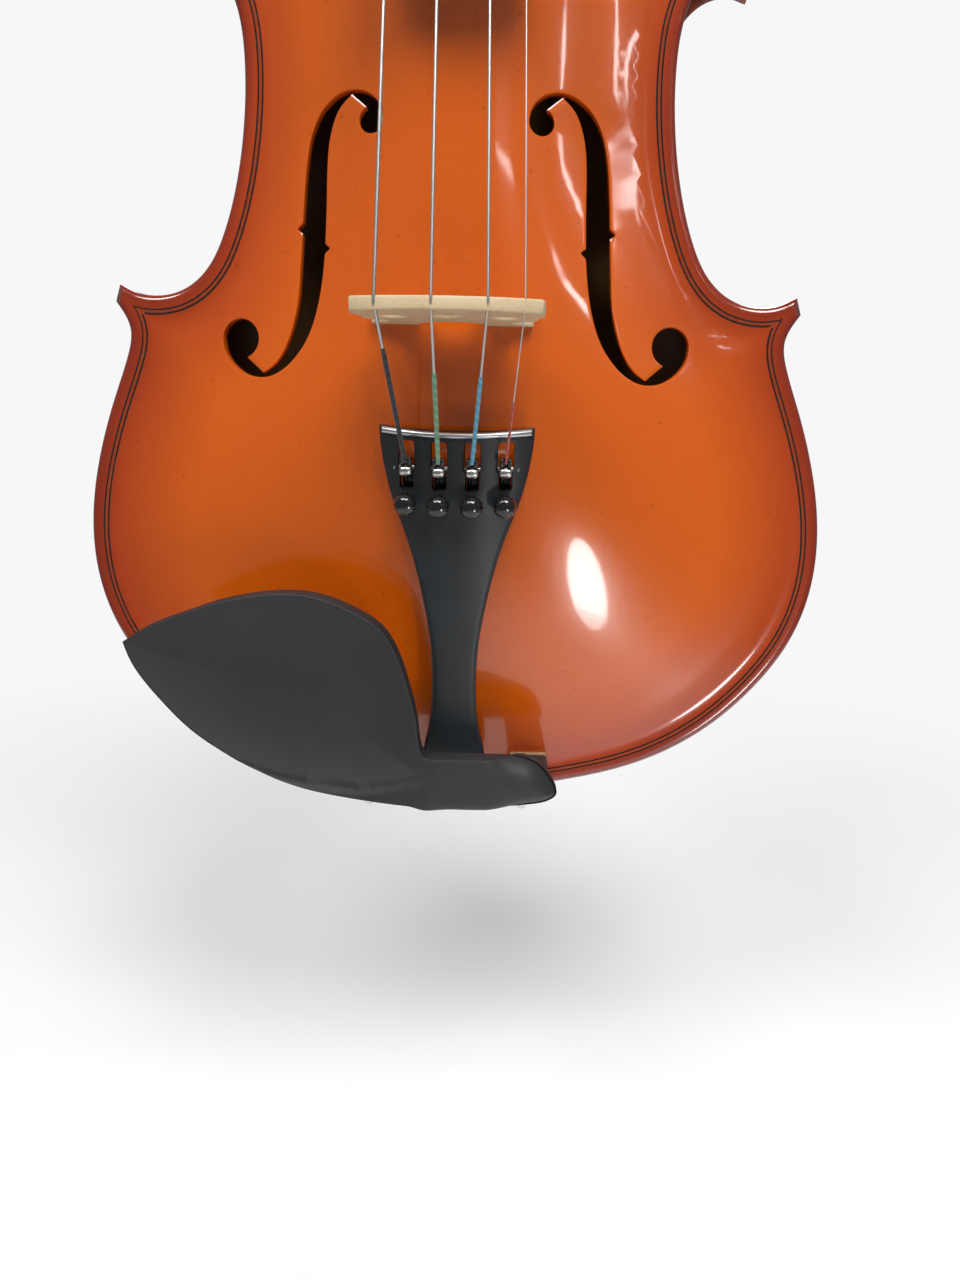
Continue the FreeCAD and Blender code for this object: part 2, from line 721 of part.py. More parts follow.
def bridge():
    """Carved maple bridge: two feet, open arch, heart, kidneys, and a crown that thins upwards."""
    foot_y = crown_y + bridge_height
    z = at(crown_at)

    def point(x, height):
        return V(x, foot_y - height, z)

    def run(values, flip):
        return [point(flip * x, height) for x, height in values]

    crown = Part.Arc(point(crown_half, 30.4), point(0, bridge_height), point(-crown_half, 30.4)).toShape()
    edges = [crown]
    for flip in (1, -1):
        side, wing = run(bridge_side, flip), run(bridge_wing, flip)
        edges += [spline(side).toShape(), Part.makeLine(side[-1], wing[0]), spline(wing).toShape()]
    edges.append(Part.makeLine(point(20.3, 0), point(-20.3, 0)))
    silhouette = Part.Wire(Part.sortEdges(edges)[0])
    solid = Part.Face(silhouette).extrude(V(0, 0, 20))
    solid.translate(V(0, 0, -10))
    openings = []
    arch_points = [point(x, h) for x, h in ((8.4, -2), (8.3, 1.6), (5.4, 6.6), (0, 8.6), (-5.4, 6.6), (-8.3, 1.6), (-8.4, -2))]
    openings.append(Part.Face(Part.Wire([spline(arch_points).toShape(), Part.makeLine(arch_points[-1], arch_points[0])])))
    for flip in (1, -1):
        openings.append(Part.Face(Part.Wire([Part.makeCircle(3.7, point(flip * 13.6, 18.6), V(0, 0, 1))])))
        openings.append(Part.Face(Part.Wire([Part.makeCircle(2.3, point(flip * 2.1, 22.4), V(0, 0, 1))])))
        slit = [point(flip * 15, 17.6), point(flip * 24, 17.3), point(flip * 24, 19.6), point(flip * 15, 19.4)]
        openings.append(Part.Face(Part.makePolygon(slit + slit[:1])))
    heart = [point(-4.1, 21.6), point(0, 15.6), point(4.1, 21.6)]
    openings.append(Part.Face(Part.makePolygon(heart + heart[:1])))
    for face in openings:
        cutter = face.extrude(V(0, 0, 24))
        cutter.translate(V(0, 0, -12))
        solid = solid.cut(cutter)
    thick = [(bridge_foot_thick / 2, 5), (bridge_foot_thick / 2, 0), (bridge_crown_thick / 2, -bridge_height - 1)]
    side = [V(-40, foot_y + y, z + half) for half, y in thick]
    side += [V(-40, foot_y + y, z - half) for half, y in thick[::-1]]
    return solid.common(Part.Face(Part.makePolygon(side + side[:1])).extrude(V(80, 0, 0)))


# chin rest and clamp

rest_upper = [(-3.6, 22.3), (-5.2, 22.8), (-6.2, 24.5), (-7.1, 30.6), (-8.2, 36.7), (-9.5, 41.6), (-11.1, 47.0),
              (-13.3, 52.4), (-16.8, 57.6), (-22.0, 61.2), (-27.1, 63.7), (-32.2, 65.4), (-37.3, 66.3),
              (-42.5, 66.4), (-47.6, 66.0), (-52.8, 65.1), (-58.1, 63.9), (-63.3, 62.2), (-68.6, 60.2),
              (-73.9, 58.2), (-79.3, 55.7), (-84.3, 52.5)]
rest_lower = [(-84.3, 52.5), (-82.8, 48.0), (-79.8, 42.7), (-75.2, 36.8), (-70.2, 31.2), (-65.1, 26.7),
              (-59.9, 23.1), (-54.6, 19.8), (-49.3, 16.9), (-44.0, 14.2), (-39.0, 12.1), (-31.2, 10.2),
              (-23.0, 8.9), (-12.0, 7.6), (-1.0, 6.9), (10.0, 6.8), (18.3, 7.2), (24.5, 8.0), (28.8, 9.2),
              (30.9, 11.2), (30.2, 14.0), (28.4, 17.0), (26.0, 19.6), (22.8, 21.4), (17.9, 22.2)]
rest_feet = ((-33.0, -18.0), (18.0, 29.0))
cork = 2.2


def chin_rest_body(plate_outer):
    """Wooden plate with a hollowed bowl, a bar over the tailpiece and two feet on the plate's edge."""
    upper, lower = ([flat(x, z) for x, z in side] for side in (rest_upper, rest_lower))
    wire = Part.Wire([spline(upper).toShape(), spline(lower).toShape(), Part.makeLine(lower[-1], upper[0])])
    body = slab(wire, rest_top_y, rest_top_y + rest_thick)
    bowl = Part.makeSphere(1.0)
    matrix = FreeCAD.Matrix()
    matrix.scale(40.0, rest_bowl, 22.0)
    bowl = bowl.transformGeometry(matrix)
    bowl.rotate(V(0, 0, 0), V(0, 1, 0), 14)
    bowl.translate(V(-38, rest_top_y, at(40)))
    body = body.cut(bowl)
    feet_low = front_y - cork
    for x0, x1 in rest_feet:
        leg = box(x0, x1, rest_top_y + rest_thick - 2, feet_low, at(10.5), at(14))
        sole = box(x0, x1, feet_low - 5, feet_low, at(4.5), at(14))
        body = body.fuse([leg, sole])
    return body.cut(plate_outer).removeSplitter()


def chin_rest_cork(plate_outer):
    pads = [box(x0, x1, front_y - cork, front_y + 1, at(4.5), at(14)) for x0, x1 in rest_feet]
    return Part.makeCompound([pad.cut(plate_outer) for pad in pads])


def clamp_studs():
    """Bent rods that leave the chin rest's feet and turn down into the barrels."""
    rods = []
    y0, bend = front_y - cork - 2.5, 4.0
    for x in clamp_x:
        start, corner_in = V(x, y0, at(8.0)), V(x, y0, clamp_z + bend)
        middle = V(x, y0 + bend * (1 - math.sqrt(0.5)), clamp_z + bend * (1 - math.sqrt(0.5)))
        corner_out, end = V(x, y0 + bend, clamp_z), V(x, -5.0, clamp_z)
        wire = Part.Wire([Part.makeLine(start, corner_in), Part.Arc(corner_in, middle, corner_out).toShape(),
                          Part.makeLine(corner_out, end)])
        ring = Part.Wire([Part.makeCircle(stud_r, start, V(0, 0, -1))])
        rods.append(wire.makePipeShell([ring], True, False, 2))
    return Part.makeCompound(rods)


barrel_from, barrel_to = -12.0, 8.0


def clamp_barrel(x):
    """Turnbuckle barrel with a bore at each end and a cross hole for its key."""
    barrel = rod(barrel_r, V(x, barrel_from, clamp_z), V(x, barrel_to, clamp_z))
    bore = rod(stud_r + running_gap, V(x, barrel_from - 1, clamp_z), V(x, barrel_to + 1, clamp_z))
    key = rod(0.8, V(x - 10, -2, clamp_z), V(x + 10, -2, clamp_z))
    return barrel.cut(bore).cut(key)


bracket_y, bracket_thick = 22.0, 1.5


def clamp_bracket():
    """Plate under the back's edge with two rods that run up into the barrels."""
    shoe = box(clamp_x[0] - 4, clamp_x[1] + 4, bracket_y, bracket_y + bracket_thick, clamp_z - 3, at(13))
    notch = Part.makeCylinder(15.5, 10, V(-1, bracket_y - 2, at(17)), V(0, 1, 0))
    shoe = shoe.cut(notch)
    for x in clamp_x:
        shoe = shoe.fuse(rod(stud_r, V(x, 1.0, clamp_z), V(x, bracket_y + 0.5, clamp_z)))
    return shoe.removeSplitter()


def clamp_cork(back_outer):
    pads = [box(x - 4, x + 4, rib_depth / 2 + edge - 1, bracket_y, at(3.6), at(13)) for x in clamp_x]
    notch = Part.makeCylinder(15.5, 40, V(-1, 0, at(17)), V(0, 1, 0))
    return Part.makeCompound([pad.cut(back_outer).cut(notch) for pad in pads])


def build():
    front, front_outer, front_hollow = plate(-1, front_rise, front_wood, blank_prism(-1))
    back, back_outer, back_hollow = plate(1, back_rise, back_wood, blank_prism(1))
    neck = neck_and_scroll()
    button = end_button()
    purfling_front = purfling(-1).common(front_outer).cut(neck)
    purfling_back = purfling(1).common(back_outer)
    holes = both_sides(sound_hole())
    parts = {}
    parts["top_plate"] = front.cut(holes).cut(neck).cut(saddle_pocket()).cut(purfling(-1))
    parts["back_plate"] = back.cut(purfling(1))
    parts["purfling"] = Part.makeCompound(purfling_front.cut(saddle_pocket()).Solids + purfling_back.Solids)
    upper_block = block(-25, 25, 337, body_length).cut(neck)
    lower_block = block(-24, 24, 0, 20).cut(button)
    corners = [corner_block([(100, 125), (100, 150), (66, 160), (58, 158), (72, 136), (84, 118)]),
               corner_block([(90, 212), (90, 240), (76, 250), (66, 240), (54, 222), (57, 212)])]
    corner_blocks = Part.makeCompound([s for c in corners for s in (c, c.mirror(V(0, 0, 0), V(1, 0, 0)))])
    blocks = [block(-25, 25, 337, body_length), block(-24, 24, 0, 20)] + corners
    parts["upper_block"] = upper_block
    parts["lower_block"] = lower_block
    parts["corner_blocks"] = corner_blocks
    parts["linings"] = linings(blocks)
    ribs = {"lower_rib_treble": (0, 1), "lower_rib_bass": (0, -1), "c_rib_treble": (1, 0),
            "upper_rib_treble": (2, 1), "upper_rib_bass": (2, -1), "c_rib_bass": (3, 0)}
    for name, (index, half) in ribs.items():
        parts[name] = rib(index, half).cut(neck).cut(button)
    bar_profile = [V(0, -60, at(43)), V(0, -14, at(43)), V(0, -60, at(312)), V(0, -19, at(312))]
    belly = Part.Arc(bar_profile[1], V(0, -19.5, at(177)), bar_profile[3]).toShape()
    bar = Part.Face(Part.Wire([Part.makeLine(bar_profile[0], bar_profile[1]), belly,
                               Part.makeLine(bar_profile[3], bar_profile[2]),
                               Part.makeLine(bar_profile[2], bar_profile[0])])).extrude(V(5.5, 0, 0))
    bar.translate(V(-19.5, 0, 0))
    parts["bass_bar"] = bar.common(front_hollow)
    post = rod(3.0, V(20, -60, at(150)), V(20, 60, at(150)))
    parts["sound_post"] = post.common(front_hollow).common(back_hollow)
    parts["neck_and_scroll"] = neck
    string_solids = {name: string(name) for name in strings}
    every_string = Part.makeCompound(list(string_solids.values()))
    parts["fingerboard"] = fingerboard()
    parts["nut"] = nut().cut(every_string).cut(neck)
    parts["saddle"] = saddle()
    parts["end_button"] = button
    gut = tail_gut()
    parts["tail_gut"] = gut
    fret = tail_fret()
    parts["tailpiece"] = placed(tailpiece().cut(fret)).cut(gut)
    parts["tailpiece_fret"] = placed(fret)
    parts["tuner_pivot_pins"] = placed(pivot_pins())
    parts["bridge"] = bridge().cut(every_string).cut(front_outer)
    for order, name in enumerate(strings):
        parts["tuner_lever_" + name] = placed(lever(order))
        parts["tuner_shank_" + name] = placed(shank(order))
        parts["tuner_head_" + name] = placed(tuner_head(order))
        parts["string_ball_" + name] = placed(string_ball(order))
        parts["string_" + name] = string_solids[name]
        parts["peg_" + name] = peg(name)
        parts["string_winding_" + name] = winding(name)
    studs = clamp_studs()
    parts["chin_rest"] = chin_rest_body(front_outer).cut(studs)
    parts["chin_rest_cork"] = chin_rest_cork(front_outer)
    parts["clamp_studs"] = studs
    parts["clamp_barrel_bass"] = clamp_barrel(clamp_x[0])
    parts["clamp_barrel_treble"] = clamp_barrel(clamp_x[1])
    parts["clamp_bracket"] = clamp_bracket()
    parts["clamp_cork"] = clamp_cork(back_outer)
    return parts


def main():
    os.makedirs("parts", exist_ok=True)
    for name, shape in build().items():
        shape.exportStep("parts/%s.step" % name)
        print(name, len(shape.Solids), "solids, volume", round(shape.Volume, 1), "valid", shape.isValid())


main()
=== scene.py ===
import math
import bpy
import numpy as np
from mathutils import Matrix, Vector
from mathutils.geometry import delaunay_2d_cdt


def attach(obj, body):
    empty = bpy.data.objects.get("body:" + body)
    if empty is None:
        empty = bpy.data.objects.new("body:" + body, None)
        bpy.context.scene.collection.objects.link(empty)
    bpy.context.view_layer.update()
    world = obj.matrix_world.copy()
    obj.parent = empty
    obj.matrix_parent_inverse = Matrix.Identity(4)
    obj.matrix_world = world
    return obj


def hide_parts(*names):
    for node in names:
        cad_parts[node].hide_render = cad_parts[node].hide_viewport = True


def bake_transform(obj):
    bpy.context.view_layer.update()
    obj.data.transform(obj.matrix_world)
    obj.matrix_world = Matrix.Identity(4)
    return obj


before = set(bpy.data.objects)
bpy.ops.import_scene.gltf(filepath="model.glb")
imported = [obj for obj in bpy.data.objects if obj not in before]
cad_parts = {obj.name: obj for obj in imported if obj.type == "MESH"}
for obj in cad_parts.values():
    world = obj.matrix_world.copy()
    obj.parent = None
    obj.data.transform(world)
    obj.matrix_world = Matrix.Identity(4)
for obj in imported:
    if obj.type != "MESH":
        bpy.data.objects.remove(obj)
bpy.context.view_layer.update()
print("frame loaded:", len(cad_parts), "nodes")

# Millimetres are used for shapes, and scaled once when a mesh is made.
mm = 0.001
footZ = 6.3                      # the plates' lower edge, in the row frame
body = {
    "ribDepth": 30.0, "ribThickness": 1.1, "edge": 4.0, "overhang": 2.7, "length": 355.8,
    "frontRise": 15.5, "backRise": 14.5, "frontWood": 3.0, "backWood": 3.6, "ledge": 0.4,
    "edgeRound": 1.9, "flute": 0.75, "fluteAt": 7.6, "fluteWidth": 3.3,
    "purflingAt": 3.55, "purflingWidth": 1.5,
}
arching = {"lower": (98.0, 76.0), "waist": (50.0, 185.0, 210.0), "upper": (78.5, 285.0),
           "start": 5.0, "run": 120.0}
neckShape = {"nutAt": 485.5, "nutHalf": 12.0, "boardHalf": 21.0, "boardLength": 270.0, "boardEdge": 5.0,
             "boardRadius": 42.0, "plane": (-34.0, 0.138)}
tail = {"x": 1.8, "y": -31.05, "at": 2.0, "tilt": math.radians(7.57), "shell": 3.5,
        "radius": 46.0, "pitch": 8.45, "screwV": 88.6}
stringSet = {"G": (-15.9, 0.43), "D": (-3.0, 0.39), "A": (9.5, 0.34), "E": (17.8, 0.17)}
crown = {"at": 136.3, "y": -69.5, "radius": 42.0, "half": 21.9, "height": 36.5}


# numbers along a line

def smoothLine(points, count):
    # natural cubic spline through the points, its parameter being the distance from point to point
    p = np.asarray(points, float)
    t = np.r_[0, np.cumsum(np.linalg.norm(np.diff(p, axis=0), axis=1))]
    h = np.diff(t)
    n = len(p)
    matrix = np.eye(n)
    right = np.zeros_like(p)
    i = np.arange(1, n - 1)
    matrix[i, i - 1] = h[:-1]
    matrix[i, i] = 2 * (h[:-1] + h[1:])
    matrix[i, i + 1] = h[1:]
    right[i] = 6 * ((p[2:] - p[1:-1]) / h[1:, None] - (p[1:-1] - p[:-2]) / h[:-1, None])
    bend = np.linalg.solve(matrix, right)
    s = np.linspace(0, t[-1], count)
    k = np.clip(np.searchsorted(t, s) - 1, 0, n - 2)
    u = (s - t[k])[:, None]
    hk = h[k][:, None]
    v = hk - u
    return ((bend[k] * v ** 3 + bend[k + 1] * u ** 3) / (6 * hk)
            + (p[k] / hk - bend[k] * hk / 6) * v + (p[k + 1] / hk - bend[k + 1] * hk / 6) * u)


def evenly(line, count):
    # the same line, cut into equal lengths
    line = np.asarray(line, float)
    t = np.r_[0, np.cumsum(np.linalg.norm(np.diff(line, axis=0), axis=1))]
    s = np.linspace(0, t[-1], count)
    return np.stack([np.interp(s, t, column) for column in line.T], 1)


def lineLength(line):
    return float(np.linalg.norm(np.diff(line, axis=0), axis=1).sum())


def byStep(points, step):
    dense = smoothLine(points, 900)
    return evenly(dense, max(3, int(round(lineLength(dense) / step)) + 1))


def arc(cx, cy, radius, start, end, count):
    turn = np.radians(np.linspace(start, end, count))
    return np.stack([cx + radius * np.cos(turn), cy + radius * np.sin(turn)], 1)


def joinLoop(*runs):
    # closed loop from runs that follow each other; points nearer than 0.02 mm to the last are dropped
    points = np.concatenate(runs)
    gap = np.linalg.norm(points - np.roll(points, 1, 0), axis=1)
    return points[gap > 0.02]


def easeIn(t):
    t = np.clip(t, 0, 1)
    return t * t * (3 - 2 * t)


def roundOff(d, radius):
    # how far a quarter-round edge has dropped at distance d from the edge
    left = radius - np.minimum(d, radius)
    return radius - np.sqrt(np.maximum(radius * radius - left * left, 0))


def distanceTo(points, loop, closed=True):
    # shortest distance from each point to a polyline
    a = loop if closed else loop[:-1]
    b = np.roll(loop, -1, 0) if closed else loop[1:]
    way = b - a
    size = (way ** 2).sum(1)
    best = np.empty(len(points))
    for start in range(0, len(points), 1500):
        p = points[start:start + 1500, None, :]
        t = np.clip(((p - a) * way).sum(2) / size, 0, 1)
        best[start:start + 1500] = np.sqrt((((a + t[..., None] * way) - p) ** 2).sum(2).min(1))
    return best


def insideOf(points, loop):
    # even-odd rule: how often a line to the right crosses the loop
    x0, y0 = loop.T
    x1, y1 = np.roll(loop, -1, 0).T
    result = np.zeros(len(points), bool)
    for start in range(0, len(points), 4000):
        x, y = points[start:start + 4000].T[:, :, None]
        spans = (y0 > y) != (y1 > y)
        with np.errstate(divide="ignore", invalid="ignore"):
            crossing = x < (x1 - x0) * (y - y0) / (y1 - y0) + x0
        result[start:start + 4000] = (spans & crossing).sum(1) % 2 == 1
    return result


# meshes

def newPiece(name, verts, faces, material, sharp=38, smooth=True):
    mesh = bpy.data.meshes.new(name)
    mesh.from_pydata((np.asarray(verts) * mm).tolist(), [], faces)
    mesh.polygons.foreach_set("use_smooth", [smooth] * len(mesh.polygons))
    mesh.update()
    if smooth:
        mesh.set_sharp_from_angle(angle=math.radians(sharp))
    piece = bpy.data.objects.new(name, mesh)
    bpy.context.scene.collection.objects.link(piece)
    mesh.materials.append(material)
    return piece


def gridFaces(rows, columns, wrapRows, wrapColumns, first=0):
    i = np.arange(rows if wrapRows else rows - 1)
    j = np.arange(columns if wrapColumns else columns - 1)
    i, j = (a.ravel() for a in np.meshgrid(i, j, indexing="ij"))
    i2, j2 = (i + 1) % rows, (j + 1) % columns
    quads = np.stack([i * columns + j, i * columns + j2, i2 * columns + j2, i2 * columns + j], 1)
    return (quads + first).tolist()


def gridPiece(name, grid, material, wrapRows=False, wrapColumns=False, caps=False, flip=False, sharp=38,
              uv=None):
    # grid[row, column] is a point: rows run along the shape, columns run round it
    rows, columns = grid.shape[:2]
    faces = gridFaces(rows, columns, wrapRows, wrapColumns)
    if caps:
        last = (rows - 1) * columns
        faces.append(list(range(columns))[::-1])
        faces.append([last + k for k in range(columns)])
    if flip:
        faces = [face[::-1] for face in faces]
    piece = newPiece(name, grid.reshape(-1, 3), faces, material, sharp)
    if uv is not None:
        addUv(piece, uv.reshape(-1, 2))
    return piece


def addUv(piece, values):
    mesh = piece.data
    layer = mesh.uv_layers.new(name="along")
    index = np.empty(len(mesh.loops), int)
    mesh.loops.foreach_get("vertex_index", index)
    layer.data.foreach_set("uv", np.asarray(values, float)[index].ravel())


def addValue(piece, name, values):
    attribute = piece.data.attributes.new(name, "FLOAT", "POINT")
    attribute.data.foreach_set("value", np.asarray(values, np.float32))


def joined(name, pieces):
    # one mesh from several, in place
    verts, faces, start = [], [], 0
    for piece in pieces:
        mesh = piece.data
        co = np.empty(len(mesh.vertices) * 3)
        mesh.vertices.foreach_get("co", co)
        verts.append(co.reshape(-1, 3) / mm)
        faces += [[start + v for v in polygon.vertices] for polygon in mesh.polygons]
        start += len(mesh.vertices)
    material = pieces[0].data.materials[0]
    for piece in pieces:
        bpy.data.objects.remove(piece)
    return newPiece(name, np.concatenate(verts), faces, material)


def inwardOf(loop):
    # unit normals of a closed anticlockwise loop, pointing inside
    way = np.roll(loop, -1, 0) - np.roll(loop, 1, 0)
    way /= np.linalg.norm(way, axis=1)[:, None]
    return np.stack([-way[:, 1], way[:, 0]], 1)


def area(loop):
    x, y = loop.T
    return 0.5 * float((x * np.roll(y, -1) - y * np.roll(x, -1)).sum())


def boardPiece(name, outer, holes, rings, holeRings, cell, top, bottom, place, material, value=None, sharp=38,
               rim=None):
    # A board cut to an outline: the flat shape is filled with triangles that follow its edges and its
    # holes' edges, lifted to top(a, b, d, dHole) and bottom(...), d being the distance from the edge (or from
    # rim, when the edge has recesses that the shape ignores) and dHole the distance from the nearest hole.
    outer = outer if area(outer) > 0 else outer[::-1]
    holes = [hole if area(hole) > 0 else hole[::-1] for hole in holes]
    points = [outer] + holes
    inner = []
    for ring in rings:
        inner.append((outer + inwardOf(outer) * ring, ring))
    for hole in holes:
        for ring in holeRings:
            inner.append((hole - inwardOf(hole) * ring, ring))
    low, high = outer.min(0), outer.max(0)
    xs = np.arange(low[0], high[0], cell)
    ys = np.arange(low[1], high[1], cell * 0.87)
    gx, gy = np.meshgrid(xs, ys)
    gx = gx + (np.arange(len(ys)) % 2)[:, None] * cell / 2
    inner.append((np.stack([gx.ravel(), gy.ravel()], 1), max(rings) + cell * 0.4 if rings else cell * 0.5))
    for line, gap in inner:
        keep = insideOf(line, outer)
        for hole in holes:
            keep &= ~insideOf(line, hole)
        line = line[keep]
        near = distanceTo(line, outer)
        for hole in holes:
            near = np.minimum(near, distanceTo(line, hole) * (1 if gap <= max(list(rings) + [0]) else 1.6))
        points.append(line[near >= gap * 0.96])
    edges = []
    start = 0
    for loop in [outer] + holes:
        n = len(loop)
        edges += [(start + k, start + (k + 1) % n) for k in range(n)]
        start += n
    flat = [Vector(p) for p in np.concatenate(points).tolist()]
    found = delaunay_2d_cdt(flat, edges, [], 0, 1e-5)
    at2 = np.array([list(v) for v in found[0]])
    tri = np.array(found[2])
    middle = at2[tri].mean(1)
    keep = insideOf(middle, outer)
    for hole in holes:
        keep &= ~insideOf(middle, hole)
    tri = tri[keep]
    used, tri = np.unique(tri, return_inverse=True)
    tri = tri.reshape(-1, 3)
    at2 = at2[used]
    one, two, three = (at2[tri[:, k]] for k in range(3))
    near, far = two - one, three - one
    turn = near[:, 0] * far[:, 1] - near[:, 1] * far[:, 0]
    tri[turn < 0] = tri[turn < 0][:, ::-1]
    d = distanceTo(at2, outer if rim is None else rim)
    dHole = np.full(len(at2), 1e3)
    for hole in holes:
        dHole = np.minimum(dHole, distanceTo(at2, hole))
    a, b = at2.T
    n = len(at2)
    upper = place(a, b, top(a, b, d, dHole))
    lower = place(a, b, bottom(a, b, d, dHole))
    directed = np.concatenate([tri[:, [0, 1]], tri[:, [1, 2]], tri[:, [2, 0]]])
    code = directed[:, 0] * n + directed[:, 1]
    back = directed[:, 1] * n + directed[:, 0]
    border = directed[~np.isin(code, back)]
    walls = np.stack([border[:, 1], border[:, 0], border[:, 0] + n, border[:, 1] + n], 1)
    faces = tri.tolist() + (tri[:, ::-1] + n).tolist() + walls.tolist()
    piece = newPiece(name, np.concatenate([upper, lower]), faces, material, sharp)
    if value:
        values = value(a, b, d, dHole)
        addValue(piece, "rim", np.concatenate([values, values]))
    return piece


def tube(name, path, radius, material, sides=14, flip=False, uvTurn=None):
    # circles carried along a path, square to it
    path = np.asarray(path, float)
    way = np.gradient(path, axis=0)
    way /= np.linalg.norm(way, axis=1)[:, None]
    across = np.cross(way, np.array([0.11, 0.31, 0.94]))
    across /= np.linalg.norm(across, axis=1)[:, None]
    other = np.cross(way, across)
    turn = np.linspace(0, 2 * np.pi, sides, endpoint=False)
    radius = np.broadcast_to(radius, len(path))[:, None, None]
    grid = path[:, None, :] + radius * (np.cos(turn)[None, :, None] * across[:, None, :]
                                        + np.sin(turn)[None, :, None] * other[:, None, :])
    uv = None
    if uvTurn:
        length = np.r_[0, np.cumsum(np.linalg.norm(np.diff(path, axis=0), axis=1))]
        uv = np.stack(np.broadcast_arrays(turn[None, :] / (2 * np.pi), length[:, None] / uvTurn), 2)
    return gridPiece(name, grid, material, wrapColumns=True, caps=True, flip=not flip, sharp=70, uv=uv)


def lathe(name, profile, place, material, sides=48, ripple=None):
    # profile of (radius, height), turned; place(x, y, h) puts it in the row frame
    profile = np.asarray(profile, float)
    turn = np.linspace(0, 2 * np.pi, sides, endpoint=False)
    radius = profile[:, 0][:, None] * np.ones_like(turn)
    if ripple is not None:
        radius = radius * ripple(turn[None, :], profile[:, 1][:, None])
    height = np.broadcast_to(profile[:, 1][:, None], radius.shape)
    grid = place(radius * np.cos(turn), radius * np.sin(turn), height)
    return gridPiece(name, grid, material, wrapColumns=True, caps=True, flip=True, sharp=45)


def finished(piece, bodyName, slotName, *nodes):
    if nodes:
        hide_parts(*nodes)
    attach(piece, bodyName)
    return piece


# materials

class Wire:
    # a socket that adds its Math nodes when it is used in an expression
    def __init__(self, bench, socket):
        self.bench = bench
        self.socket = socket

    def maths(self, operation, *values):
        return self.bench.node("ShaderNodeMath", {"operation": operation}, dict(enumerate(values)))

    def __add__(self, other):
        return self.maths("ADD", self, other)

    def __radd__(self, other):
        return self.maths("ADD", other, self)

    def __sub__(self, other):
        return self.maths("SUBTRACT", self, other)

    def __rsub__(self, other):
        return self.maths("SUBTRACT", other, self)

    def __mul__(self, other):
        return self.maths("MULTIPLY", self, other)

    def __rmul__(self, other):
        return self.maths("MULTIPLY", other, self)

    def __truediv__(self, other):
        return self.maths("DIVIDE", self, other)

    def __pow__(self, other):
        return self.maths("POWER", self, other)

    def clamp(self):
        return self.bench.node("ShaderNodeClamp", {}, {"Value": self})

    def wave(self):
        return self.maths("SINE", self)

    def above(self, edge):
        return self.maths("GREATER_THAN", self, edge)


class Bench:
    # one material's node tree
    def __init__(self, name):
        self.material = bpy.data.materials.new(name)
        self.material.use_nodes = True
        self.nodes = self.material.node_tree.nodes
        self.links = self.material.node_tree.links
        self.shader = self.nodes["Principled BSDF"]

    def node(self, kind, settings, values, output=0):
        made = self.nodes.new(kind)
        for key, value in settings.items():
            if key == "stops":
                ramp = made.color_ramp
                while len(ramp.elements) < len(value):
                    ramp.elements.new(1.0)
                for element, (place, colour) in zip(ramp.elements, value):
                    element.position = place
                    element.color = (*colour, 1)
            else:
                setattr(made, key, value)
        for key, value in values.items():
            self.put(made.inputs[key], value)
        return Wire(self, made.outputs[output])

    def put(self, socket, value):
        if isinstance(value, Wire):
            self.links.new(value.socket, socket)
        elif isinstance(value, tuple) and len(value) == 3 and socket.type == "RGBA":
            socket.default_value = (*value, 1)
        else:
            socket.default_value = value

    def place(self, scale=(1, 1, 1), turn=(0, 0, 0)):
        # object coordinates in millimetres, stretched by scale
        where = self.node("ShaderNodeTexCoord", {}, {}, "Object")
        return self.node("ShaderNodeMapping", {}, {"Vector": where, "Rotation": turn,
                                                   "Scale": tuple(1000 * s for s in scale)})

    def noise(self, where, scale, detail=3.0, rough=0.5):
        return self.node("ShaderNodeTexNoise", {}, {"Vector": where, "Scale": scale, "Detail": detail,
                                                    "Roughness": rough}, "Fac")

    def ramp(self, value, stops):
        return self.node("ShaderNodeValToRGB", {"stops": stops}, {"Fac": value}, "Color")

    def blend(self, amount, one, two, kind="MIX"):
        made = self.nodes.new("ShaderNodeMix")
        made.data_type = "RGBA"
        made.blend_type = kind
        self.put(made.inputs[0], amount)
        self.put(made.inputs[6], one)
        self.put(made.inputs[7], two)
        return Wire(self, made.outputs[2])

    def value(self, name):
        return self.node("ShaderNodeAttribute", {"attribute_name": name}, {}, "Fac")

    def insideShare(self, side, rim):
        # 1 on a plate's hollow side, whose surface faces along side * Y, clear of the overhanging edge
        facing = self.node("ShaderNodeTexCoord", {}, {}, "Normal")
        along = self.node("ShaderNodeSeparateXYZ", {}, {"Vector": facing}, "Y")
        return (along * (side * 8) - 2).clamp() * ((rim - 0.25) * 20).clamp()

    def finish(self, colour=None, roughness=None, bump=None, bumpSize=0.1, bumpDepth=0.3, **fixed):
        if colour is not None:
            self.put(self.shader.inputs["Base Color"], colour)
        if roughness is not None:
            self.put(self.shader.inputs["Roughness"], roughness)
        if bump is not None:
            normal = self.node("ShaderNodeBump", {}, {"Height": bump, "Strength": bumpDepth,
                                                      "Distance": bumpSize * mm})
            self.put(self.shader.inputs["Normal"], normal)
        for name, value in fixed.items():
            self.put(self.shader.inputs[name.replace("_", " ")], value)
        return self.material


varnish = {
    "pale": (0.66, 0.112, 0.002), "mid": (0.57, 0.078, 0.002), "deep": (0.33, 0.027, 0.002),
    "shade": (0.135, 0.012, 0.004), "grainEvery": 1.15, "rough": 0.17,
}


